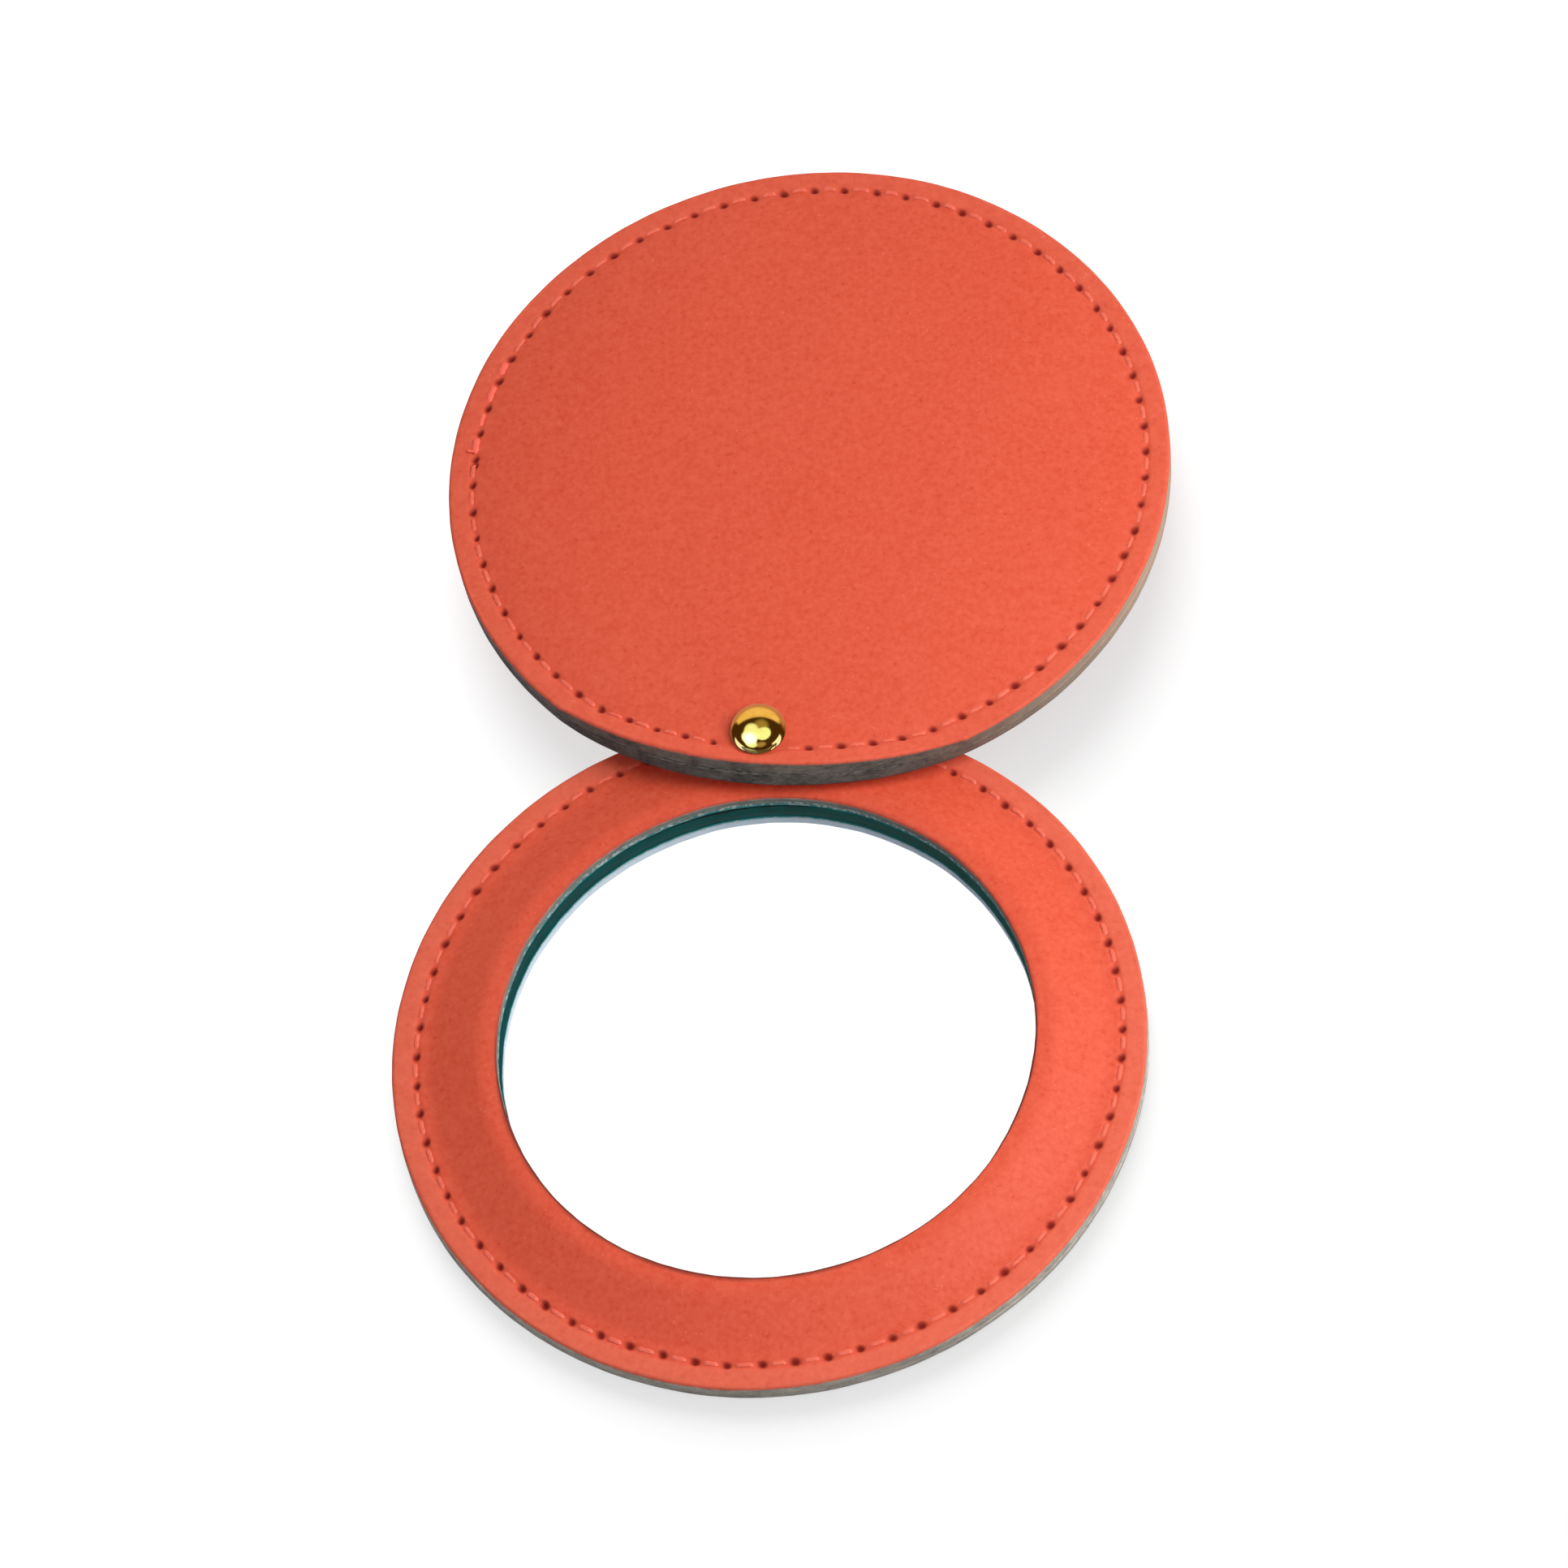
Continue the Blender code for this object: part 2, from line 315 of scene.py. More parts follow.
# Stitch layout


class Seam:
    """The row of stitch holes round a leaf, with the small slips of a hand-guided machine."""

    def __init__(self, centre, start, cosine, sine, seed, doubled=None):
        pitch = 2 * math.pi / STITCHES
        even = math.radians(start) + pitch * np.arange(STITCHES)
        chance = np.random.default_rng(seed)
        slip = np.radians(cosine * np.cos(even) + sine * np.sin(even))
        self.centre = centre
        self.holes = even + slip + chance.normal(0, ANGLE_STRAY, STITCHES)
        self.radii = STITCH_RADIUS + chance.normal(0, RADIUS_STRAY, STITCHES) - SEAM_INSET
        self.slants = HOLE_SLANT + chance.normal(0, SLANT_STRAY, STITCHES)
        self.sizes = 1 + chance.normal(0, SIZE_STRAY, STITCHES)
        self.depths = 1 + chance.normal(0, DEPTH_STRAY, STITCHES)
        self.marks = self.holes
        if doubled is not None:
            # The needle went in twice here, so a second hole lies beside this one
            self.marks = np.append(self.holes, self.holes[doubled] + SECOND_HOLE / STITCH_RADIUS)
            for name in ("radii", "slants", "sizes", "depths"):
                values = getattr(self, name)
                setattr(self, name, np.append(values, values[doubled]))

    def columns(self):
        """Angles of the mesh columns, bunched at the holes."""
        share = np.arange(COLUMNS_PER_STITCH) / COLUMNS_PER_STITCH
        share = share - COLUMN_BUNCHING * np.sin(2 * math.pi * share) / (2 * math.pi)
        after = np.append(self.holes[1:], self.holes[0] + 2 * math.pi)
        grid = self.holes[:, None] + (after - self.holes)[:, None] * share[None, :]
        return grid.ravel()

    def nearest(self, radii, angles):
        """For each point, its nearest hole and its place along and across the seam from it."""
        turned = np.asarray(angles)[:, None] - self.marks[None, :]
        turned = np.mod(turned + math.pi, 2 * math.pi) - math.pi
        index = np.abs(turned).argmin(axis=1)
        along = radii * turned[np.arange(len(index)), index]
        return index, along, radii - self.radii[index]

    def depth(self, radii, angles, hole_depth, skip=()):
        """How far the groove, the dimples and the holes sink a face."""
        index, along, across = self.nearest(radii, angles)
        shown = ~np.isin(index, skip)
        near = np.exp(-(along**2 + across**2) / (2 * DIMPLE_SPREAD**2))
        reach = np.clip(np.abs(radii - STITCH_RADIUS) / GROOVE_HALF, 0, 1)
        groove = GROOVE_DEPTH * np.cos(reach * math.pi / 2) ** 2
        groove = groove * (GROOVE_SHARE + GROOVE_SHARE * near)
        oval = self.oval(index, along, across)
        hole = hole_depth * self.depths[index] * (1 - smooth(oval, *HOLE_SLOPE))
        return groove + shown * (DIMPLE_DEPTH * near + hole)

    def oval(self, index, along, across):
        """Distance from a hole's centre, where 1 is its lip."""
        slant = self.slants[index]
        long_way = along * np.cos(slant) + across * np.sin(slant)
        short_way = across * np.cos(slant) - along * np.sin(slant)
        size = self.sizes[index]
        return np.hypot(long_way / (HOLE_LONG * size), short_way / (HOLE_SHORT * size))

    def dark(self, spots, skip):
        """Painted shade of the holes: 1 in a hole, fading to 0 round it."""
        offset = spots[:, :2] - self.centre
        radii = np.hypot(offset[:, 0], offset[:, 1])
        angles = np.arctan2(offset[:, 1], offset[:, 0])
        index, along, across = self.nearest(radii, angles)
        shown = ~np.isin(index, skip)
        oval = self.oval(index, along, across)
        return shown * (1 - smooth(oval, *HOLE_SHADE_SLOPE)) ** HOLE_SHADE_POWER


RIPPLE_DEPTH = 0.035 * MM
RIPPLE_WAVES = 7
RIPPLE_LENGTHS = (9, 30)
CUT_LOBES = (2, 3, 5, 8, 13, 21, 34, 55, 89)
CUT_STRAY = 0.028 * MM
WINDOW_STRAY = 1.4
# Seeds of the random draws
RING_RIPPLE = 21
COVER_RIPPLE = 22
RING_KNIFE = 31
BACK_KNIFE = 32
WINDOW_KNIFE = 33
COVER_KNIFE = 41
LINING_KNIFE = 42


def ripple(x, y, seed):
    """A gentle unevenness of the hide, between about -1 and 1."""
    chance = np.random.default_rng(seed)
    total = np.zeros_like(np.asarray(x, float))
    for _ in range(RIPPLE_WAVES):
        heading = chance.uniform(0, 2 * math.pi)
        wave = chance.uniform(*RIPPLE_LENGTHS) * MM
        phase = chance.uniform(0, 2 * math.pi)
        way = x * math.cos(heading) + y * math.sin(heading)
        total = total + np.sin(way * 2 * math.pi / wave + phase)
    return total / 4


def cut_line(angles, seed):
    """How far the knife strayed from a true circle."""
    chance = np.random.default_rng(seed)
    total = np.zeros_like(angles)
    for lobes in CUT_LOBES:
        total = total + math.sqrt(2 / lobes) * np.sin(lobes * angles + chance.uniform(0, 2 * math.pi))
    return CUT_STRAY * total


def spread(start, end, steps):
    return [start + (end - start) * step / steps for step in range(steps + 1)]


def rounding(size, steps):
    """The insets and drops of a rounded edge of this size, from its face to its wall."""
    turns = spread(0, math.pi / 2, steps)
    return [(size * (1 - math.sin(turn)), size * (1 - math.cos(turn))) for turn in turns]


CURL_START = 33.3 * MM
CURL_RISE = 1.5 * MM
CURL_POWER = 1.6
PRESS_FULL = CAP_RADIUS - 0.3 * MM
PRESS_END = CAP_RADIUS + 1.6 * MM
FINE_INNER = STITCH_RADIUS - 0.9 * MM
FINE_OUTER = STITCH_RADIUS + 0.9 * MM
FACE_STEP = 0.34 * MM
COARSE_END = 6 * MM
DENSE_FROM = 35.5 * MM
# Rings away from the seam have only every so many of its columns
FEWER = 4
FEW = 20
FEWEST = 80


def face_radii(inner):
    """Radii of the rings of a face, from its edge inwards, closest at the seam."""
    radii = spread(LEAF_RADIUS - EDGE_ROUND, FINE_OUTER, 5)
    radii += spread(FINE_OUTER, FINE_INNER, 20)[1:]
    steps = max(2, round((FINE_INNER - inner) / FACE_STEP))
    return radii + spread(FINE_INNER, inner, steps)[1:]


def leather_disc(name, seam, knife, top_of, bottom_of, fine_radius, edge_up):
    """A round leather: its upper face, cut edge and lower face.

    edge_up is 1 where the finished face is the upper one, and -1 where it is the lower one. Inside
    fine_radius that face's rings have fewer points.
    """
    skin = Skin(seam.centre, seam.columns())

    def edge(inset):
        return lambda turn: LEAF_RADIUS - inset + cut_line(turn, knife)

    rows = []
    for is_top in (True, False):
        height = top_of if is_top else bottom_of
        if is_top == (edge_up > 0):
            rings = [skin.ring(edge(EDGE_ROUND), height)]
            rings += [skin.ring(radius, height) for radius in face_radii(fine_radius)[1:]]
            coarse = spread(fine_radius, COARSE_END, 12)[1:]
            steps = [FEWER if radius > 0.6 * fine_radius else FEW for radius in coarse]
        else:
            rings = [skin.ring(edge(SEAM_BREAK), height), skin.ring(STITCH_RADIUS, height)]
            coarse = [GROOVE_INNER, 30 * MM, 24 * MM, 16 * MM, 8 * MM]
            steps = [FEWER] * 3 + [FEW] * 2
        rings += [skin.ring(radius, height, step) for radius, step in zip(coarse, steps)]
        rings.append(skin.ring(2.5 * MM, height, FEWEST))
        rings.append(skin.spot(height))
        rows.append(rings)
    edges = [float(face(np.full(1, LEAF_RADIUS), np.zeros(1))[0]) for face in (top_of, bottom_of)]
    finished_edge, seam_edge = edges[::edge_up]
    finished_rows, seam_rows = rows[::edge_up]
    wall = []
    for inset, drop in rounding(EDGE_ROUND, 6)[1:]:
        wall.append(skin.ring(edge(inset), finished_edge - edge_up * drop))
    start = finished_edge - edge_up * EDGE_ROUND
    end = seam_edge + edge_up * SEAM_BREAK
    wall += [skin.ring(edge(0), level) for level in spread(start, end, 8)[1:]]
    skin.band(finished_rows[::-1] + wall + seam_rows)
    return skin.mesh(name)


def ease(share):
    """From 0 to 1, straight in the middle and rounded at both ends."""
    slope = 1 / (1 - DRAPE_BEND)
    share = np.clip(share, 0, 1)
    low = slope * share**2 / (2 * DRAPE_BEND)
    high = 1 - slope * (1 - share) ** 2 / (2 * DRAPE_BEND)
    middle = slope * (share - DRAPE_BEND / 2)
    return np.where(share < DRAPE_BEND, low, np.where(share > 1 - DRAPE_BEND, high, middle))


def drape(radii, rim):
    share = (GROOVE_INNER - radii) / (GROOVE_INNER - DRAPE_INNER)
    return rim + (GLASS_TOP - BACK_TOP) * ease(share)


def swell(radii):
    return CROWN_RISE * np.clip(1 - (np.asarray(radii) / GROOVE_INNER) ** CROWN_POWER, 0, None)


# How strong the painted shade on the window's lip is on the rivet's side, where it is 1 on the other
LIP_SHADE_LEAST = 0.3

mirror_seam = Seam(MIRROR_CENTRE, 3.96, -0.34, 0.07, 11)
cover_seam = Seam(COVER_CENTRE, 4.12, -0.66, -0.75, 12, doubled=32)


def under(seam, reach):
    """The holes within this distance of the rivet's middle."""
    ways = np.stack([np.cos(seam.marks), np.sin(seam.marks)], axis=1)
    spots = seam.centre + seam.radii[:, None] * ways
    return [int(index) for index in np.nonzero(np.linalg.norm(spots - PIVOT, axis=1) < reach)[0]]


cap_hidden = under(cover_seam, CAP_RADIUS + 0.1 * MM)
cap_pressed = under(cover_seam, CAP_RADIUS + 0.9 * MM)
base_hidden = under(mirror_seam, BASE_RADIUS + 0.7 * MM)


def ring_top(radii, angles):
    x, y = radii * np.cos(angles), radii * np.sin(angles)
    sink = mirror_seam.depth(radii, angles, HOLE_DEPTH)
    return drape(radii, RIM_TOP) - sink + RIPPLE_DEPTH * ripple(x, y, RING_RIPPLE)


def back_bottom(radii, angles):
    return mirror_seam.depth(radii, angles, BACK_HOLE_DEPTH, base_hidden)


def cover_top(radii, angles):
    x = COVER_CENTRE[0] + radii * np.cos(angles)
    y = COVER_CENTRE[1] + radii * np.sin(angles)
    height = COVER_RIM_TOP + swell(radii) - cover_seam.depth(radii, angles, HOLE_DEPTH, cap_pressed)
    height = height + RIPPLE_DEPTH * ripple(x, y, COVER_RIPPLE)
    away = np.hypot(x - PIVOT[0], y - PIVOT[1])
    pressed = 1 - smooth(away, PRESS_FULL, PRESS_END)
    return height + (CAP_SEAT - height) * pressed


def cover_underside(radii, angles):
    return COVER_SEAM + swell(radii)


def curled(spots):
    """The cover's edge by the rivet, bent up a little where the rivet pulls the leathers down."""
    heading = (PIVOT - COVER_CENTRE) / np.linalg.norm(PIVOT - COVER_CENTRE)
    length = LEAF_RADIUS - CURL_START
    share = np.clip(((spots[:, :2] - COVER_CENTRE) @ heading - CURL_START) / length, 0, None)
    away = np.linalg.norm(spots[:, :2] - PIVOT, axis=1)
    free = smooth(away, PRESS_FULL, PRESS_END)
    rise = CURL_RISE * share**CURL_POWER * free
    slope = CURL_RISE * CURL_POWER / length * share ** (CURL_POWER - 1) * free
    out = spots.copy()
    out[:, 2] += rise
    out[:, :2] -= heading * ((spots[:, 2] - COVER_BOTTOM) * slope)[:, None]
    return out


def reshape(mesh, change):
    mesh.vertices.foreach_set("co", change(positions(mesh)).ravel())
    mesh.update()


def lining_bottom(radii, angles):
    return COVER_BOTTOM + cover_seam.depth(radii, angles, LINING_HOLE_DEPTH)


def level(height):
    return lambda radii, angles: np.full(len(radii), height)


def front_ring_mesh():
    """The ring: drawn down over the glass from the window to the stitched rim."""
    skin = Skin(MIRROR_CENTRE, mirror_seam.columns())

    def edge(inset):
        return lambda turn: LEAF_RADIUS - inset + cut_line(turn, RING_KNIFE)

    def window(inset):
        return lambda turn: WINDOW_RADIUS + inset + WINDOW_STRAY * cut_line(turn, WINDOW_KNIFE)

    # Radius, height and step of each ring
    rows = [(edge(EDGE_ROUND), ring_top, 1)]
    for radius in face_radii(WINDOW_RADIUS + WINDOW_ROUND)[1:-1]:
        rows.append((radius, ring_top, 1 if radius > DENSE_FROM else 2))
    rows.append((window(WINDOW_ROUND), ring_top, 2))
    rows += [(window(inset), RING_CROWN - drop, 2) for inset, drop in rounding(WINDOW_ROUND, 5)[1:]]
    rows += [(window(0), height, 2) for height in spread(RING_CROWN - WINDOW_ROUND, GLASS_TOP, 9)[1:]]
    rows += [(radius, GLASS_TOP, 2) for radius in spread(WINDOW_RADIUS + 0.3 * MM, DRAPE_INNER, 4)]
    for radius in spread(DRAPE_INNER, GROOVE_INNER, 14)[1:]:
        rows.append((radius, float(drape(radius, BACK_TOP)), 2))
    rows += [(STITCH_RADIUS, BACK_TOP, 1), (edge(SEAM_BREAK), BACK_TOP, 1)]
    rows += [(edge(0), height, 1) for height in spread(BACK_TOP + SEAM_BREAK, RIM_TOP - EDGE_ROUND, 8)]
    rows += [(edge(inset), RIM_TOP - drop, 1) for inset, drop in reversed(rounding(EDGE_ROUND, 6)[1:-1])]
    rings = [skin.ring(*row) for row in rows]
    skin.band(rings + rings[:1])
    return skin.mesh("front_ring")


def past(values, level, low, high):
    """0 before and 1 after a step that runs from low to high millimetres past a level."""
    return smooth(values, level + low * MM, level + high * MM)


def edge_masks(mesh, seam, face_level, seam_level, edge_up, skip, window=False):
    """Where the leather is raw, where it lies by the glue line, and where the holes' painted shade and the
    rim's painted sheen lie.
    """
    spots = positions(mesh)
    radii = np.hypot(spots[:, 0] - seam.centre[0], spots[:, 1] - seam.centre[1])
    heights = spots[:, 2]
    below = edge_up * (face_level - heights)
    raw = past(radii, LEAF_RADIUS, -0.45, -0.1)
    raw = raw * (past(below, 0, 0.05, 0.6) if edge_up > 0 else past(below, 0, -0.25, 0))
    glue = past(radii, LEAF_RADIUS, -0.3, -0.15)
    glue = glue * (1 - past(np.abs(heights - seam_level), 0, 0.05, 0.32))
    if window:
        wall = 1 - past(radii, WINDOW_RADIUS, 0.1, 0.45)
        inner = wall * past(RING_CROWN - heights, 0, 0.02, 0.4)
        raw = np.maximum(raw, inner)
        lap = (1 - past(radii, DRAPE_INNER, 0.3, 0.6)) * (1 - past(heights, GLASS_TOP, 0.12, 0.5))
        lip = 1 - past(radii, WINDOW_RADIUS, 0.18, 0.36)
        lip = lip * (LIP_SHADE_LEAST + (1 - LIP_SHADE_LEAST) * (1 - past(spots[:, 1], 0, -4, 8)))
        lip = lip * past(heights, RING_CROWN, -0.3, -0.12)
        foot = wall * past(heights, GLASS_TOP, 0.05, 0.25) * (1 - past(heights, GLASS_TOP, 0.5, 0.85))
        # lap, inner and lip carry painted shade; inner also marks the raw wall and its painted reflection
        for name, mask in (("lap", lap), ("inner", inner), ("lip", lip), ("foot", foot)):
            paint(mesh, name, mask)
    paint(mesh, "raw", raw)
    # Masks of the rim's painted sheen and of the holes' painted shade
    paint(mesh, "rim", past(radii, STITCH_RADIUS, 0.1, 0.7))
    paint(mesh, "glue", glue)
    paint(mesh, "hole", seam.dark(spots, skip))


# Threads


def tube(points, faces, path, widths, thicks, twist=0.0):
    """A closed strand along a path. Its width lies flat and its thickness upright."""
    path = np.asarray(path)
    base = len(points)
    ahead = np.gradient(path, axis=0)
    ahead /= np.linalg.norm(ahead, axis=1)[:, None]
    flat = np.cross(ahead, [0.0, 0.0, 1.0])
    size = np.linalg.norm(flat, axis=1)[:, None]
    flat = np.where(size > 1e-6, flat / np.maximum(size, 1e-9), flat)
    up = np.cross(flat, ahead)
    length = np.concatenate([[0], np.cumsum(np.linalg.norm(np.diff(path, axis=0), axis=1))])
    for place in range(len(path)):
        for side in range(THREAD_SIDES):
            angle = 2 * math.pi * side / THREAD_SIDES
            turned = THREAD_LOBES * angle - twist * length[place]
            lobe = 1 - LOBE_DEPTH * (0.5 - 0.5 * math.cos(turned))
            spot = path[place] + flat[place] * math.cos(angle) * widths[place] / 2 * lobe
            spot = spot + up[place] * math.sin(angle) * thicks[place] / 2 * lobe
            points.append(spot)
    for place in range(len(path) - 1):
        for side in range(THREAD_SIDES):
            after = (side + 1) % THREAD_SIDES
            row = base + place * THREAD_SIDES
            above = row + THREAD_SIDES
            faces.append((row + side, row + after, above + after, above + side))
    last = base + (len(path) - 1) * THREAD_SIDES
    faces.append(tuple(base + side for side in range(THREAD_SIDES)))
    faces.append(tuple(last + side for side in range(THREAD_SIDES)))


def stitch_path(seam, index, face, way, lift, offset, dive):
    """A stitch from one hole to the next: up out of the first, over the leather and down again.

    way is 1 on an upper face and -1 on a lower one.
    """
    start, end = seam.holes[index], seam.holes[(index + 1) % STITCHES]
    if end < start:
        end += 2 * math.pi
    start_radius, end_radius = seam.radii[index], seam.radii[(index + 1) % STITCHES]
    chord = (end - start) * STITCH_RADIUS
    rise_from, rise_full = (0.35 * MM, 1.25 * MM) if way > 0 else (THREAD_INSET, 1.2 * MM)
    path, rise = [], []
    for step in range(STITCH_STEPS + 1):
        share = step / STITCH_STEPS
        eased = 0.5 - 0.5 * math.cos(math.pi * share)
        share = 0.45 * share + 0.55 * eased
        along = THREAD_INSET + (chord - 2 * THREAD_INSET) * share
        turn = start + along / STITCH_RADIUS
        middle = math.sin(math.pi * share)
        radius = start_radius + (end_radius - start_radius) * share
        radius += (THREAD_BOW + offset) * middle**0.8
        up = float(smooth(min(along, chord - along), rise_from, rise_full))
        shift = THREAD_SHIFT * middle if way > 0 else 0.0
        path.append(
            (
                seam.centre[0] + radius * math.cos(turn),
                seam.centre[1] + radius * math.sin(turn) + shift,
                face + way * (lift * up - dive * (1 - up)),
            )
        )
        rise.append(up)
    return path, np.array(rise)


def thread_mesh(seam, face, way, lift, skip, dive, heavy):
    """All the stitches on one face. heavy has the melted ones, with a loose end on one of them."""
    points, faces, melt = [], [], []
    chance = np.random.default_rng(THREAD_SEED)
    for index in range(STITCHES):
        if index in skip or (index + 1) % STITCHES in skip:
            continue
        width, thick, offset = heavy.get(index, (THREAD_WIDTH, THREAD_THICK, 0.0))
        width *= 1 + chance.normal(0, WIDTH_STRAY)
        slack = chance.normal(0, SLACK_STRAY)
        extra = (thick - THREAD_THICK) / 4
        height = lift + slack * (way > 0) + extra
        path, rise = stitch_path(seam, index, face, way, height, offset, dive)
        taper = END_WIDTH + (1 - END_WIDTH) * rise
        tube(points, faces, path, width * taper, thick * (END_THICK + (1 - END_THICK) * rise), TWIST)
        if index == LOOSE_END and index in heavy:
            loose_end(points, faces, seam, path)
        melt += [1.0 if index in heavy else 0.0] * (len(points) - len(melt))
    return points, faces, melt


def loose_end(points, faces, seam, path):
    """A short end of thread that points outwards from a stitch."""
    root = np.array(path[round(TAIL_PLACE * len(path))])
    root[2] = max(spot[2] for spot in path) + TAIL_RAISE
    out = np.append(root[:2] - seam.centre, 0.0)
    out /= np.linalg.norm(out)
    shares = np.linspace(0, 1, 9)
    loose = root + np.outer(shares, out * TAIL_LENGTH) + np.outer(shares**2, (0, 0, TAIL_LIFT))
    widths = TAIL_WIDTH * (1 - TAIL_TAPER * shares)
    tube(points, faces, loose, widths, TAIL_FLAT * widths)


# Materials


def new_material(name):
    material = bpy.data.materials.new(name)
    material.use_nodes = True
    tree = material.node_tree
    return material, tree, tree.nodes["Principled BSDF"]


def give(tree, node, values):
    """Links the values that are sockets to a node's inputs, and sets the others."""
    for key, value in values.items():
        if isinstance(value, bpy.types.NodeSocket):
            tree.links.new(value, node.inputs[key])
        else:
            node.inputs[key].default_value = value


def add(tree, kind, values=None, **settings):
    """A node with its settings and values."""
    node = tree.nodes.new(kind)
    for key, value in settings.items():
        setattr(node, key, value)
    give(tree, node, values or {})
    return node


def local_coords(tree, stretch=(1, 1, 1)):
    coords = add(tree, "ShaderNodeTexCoord")
    return add(tree, "ShaderNodeMapping", {"Vector": coords.outputs["Object"], "Scale": stretch}).outputs[0]


def noise(tree, vector, size, detail=3, roughness=0.5):
    """Noise whose spots are about this size, in metres."""
    values = {"Vector": vector, "Scale": 1 / size, "Detail": detail, "Roughness": roughness}
    return add(tree, "ShaderNodeTexNoise", values).outputs["Fac"]


def ranged(tree, value, low, high, to_low=0.0, to_high=1.0):
    values = {"Value": value, "From Min": low, "From Max": high, "To Min": to_low, "To Max": to_high}
    return add(tree, "ShaderNodeMapRange", values).outputs["Result"]


def maths(tree, operation, first, second=0.0, clamp=False):
    settings = {"operation": operation, "use_clamp": clamp}
    return add(tree, "ShaderNodeMath", {0: first, 1: second}, **settings).outputs[0]


def product(tree, *parts):
    total = parts[0]
    for part in parts[1:]:
        total = maths(tree, "MULTIPLY", total, part)
    return total


def weighed(tree, *parts):
    """The sum of some values, each with its weight."""
    total = None
    for value, weight in parts:
        part = maths(tree, "MULTIPLY", value, weight)
        total = part if total is None else maths(tree, "ADD", total, part)
    return total


def mixed(tree, factor, first, second):
    values = {0: factor, 6: first, 7: second}
    return add(tree, "ShaderNodeMix", values, data_type="RGBA", blend_type="MIX").outputs[2]


def attribute(tree, name):
    return add(tree, "ShaderNodeAttribute", attribute_name=name).outputs["Fac"]


def finish(tree, shader, colour, relief, strength, depth, values):
    """Gives a shader its colour, a bump from a relief and its other values."""
    bump = add(tree, "ShaderNodeBump", {"Strength": strength, "Distance": depth, "Height": relief})
    give(tree, shader, {"Base Color": colour, "Normal": bump.outputs[0], **values})


def leather(name, raw_light, raw_dark, rim_sheen_share, painted_light_share=0.0, window=False):
    """Coral leather. raw_light and raw_dark are its cut edge; a share of painted light makes the cut edge
    paler and warmer towards +x, where the key light falls.
    """
    material, tree, shader = new_material(name)
    vector = local_coords(tree)
    mottle = noise(tree, vector, 1.3 * MM, 4, 0.6)
    cloud = noise(tree, vector, 16 * MM, 3, 0.5)
    speckle = noise(tree, vector, 0.6 * MM, 2, 0.55)
    grain = noise(tree, vector, 0.24 * MM, 4, 0.62)
    fleck = ranged(tree, noise(tree, vector, 0.33 * MM, 1, 0.4), 0.735, 0.79)
    tone = weighed(tree, (mottle, 0.38), (cloud, 0.14), (speckle, 0.48))
    colour = mixed(tree, ranged(tree, tone, 0.37, 0.63), CORAL_DARK, CORAL_LIGHT)
    pit = ranged(tree, noise(tree, vector, 0.6 * MM, 2, 0.5), 0.34, 0.22)
    colour = mixed(tree, product(tree, pit, PIT_SHARE), colour, PIT_RED)
    colour = mixed(tree, product(tree, fleck, FLECK_SHARE), colour, FLECK_PINK)
    # Painted light: the flat rim outside the stitches is painted a little paler and pinker, for its brighter
    # shading and sheen
    colour = mixed(tree, product(tree, attribute(tree, "rim"), rim_sheen_share), colour, RIM_SHEEN_PINK)
    # Holes: painted shade, dark red in the holes and fading round them; rougher inside too
    hole = attribute(tree, "hole")
    colour = mixed(tree, ranged(tree, hole, 0.05, 0.95), colour, HOLE_SHADE_RED)
    # Raw cut edge: fibres in thin layers along the rim
    fibre = noise(tree, local_coords(tree, (1, 1, 5)), 0.8 * MM, 5, 0.66)
    patches = noise(tree, local_coords(tree, (1, 1, 1.6)), 2.6 * MM, 3, 0.55)
    speck = noise(tree, vector, 0.2 * MM, 3, 0.7)
    raw_tone = weighed(tree, (fibre, 0.45), (speck, 0.2), (patches, 0.35))
    raw_colour = mixed(tree, ranged(tree, raw_tone, 0.38, 0.64), raw_dark, raw_light)
    # Painted light: the cut edge is painted paler and warmer towards +x, where the key light falls
    if painted_light_share:
        split = add(tree, "ShaderNodeSeparateXYZ", {0: vector})
        side = ranged(tree, split.outputs["X"], PAINTED_LIGHT_START, PAINTED_LIGHT_END, 0.0, painted_light_share)
        raw_colour = mixed(tree, side, raw_colour, RAW_PAINTED_LIGHT_TAN)
    broken = ranged(tree, fibre, 0.46, 0.62, 0.0, GLUE_SHARE)
    raw_colour = mixed(tree, product(tree, attribute(tree, "glue"), broken), raw_colour, GLUE)
    ragged = product(tree, maths(tree, "SUBTRACT", fibre, 0.5), RAGGEDNESS)
    raw = ranged(tree, maths(tree, "ADD", attribute(tree, "raw"), ragged), 0.22, 0.8)
    colour = mixed(tree, raw, colour, raw_colour)
    if window:
        colour = window_tones(tree, vector, colour)
    rough = ranged(tree, grain, 0.3, 0.7, 0.5, 0.62)
    dry = product(tree, maths(tree, "MAXIMUM", raw, hole), DRYNESS)
    rough = maths(tree, "ADD", rough, dry, clamp=True)
    relief = weighed(tree, (grain, 0.5), (mottle, 0.5), (product(tree, raw_tone, raw), RAW_RELIEF))
    values = {"Roughness": rough, "Specular IOR Level": 0.22}
    finish(tree, shader, colour, relief, 0.4, 0.03 * MM, values)
    return material


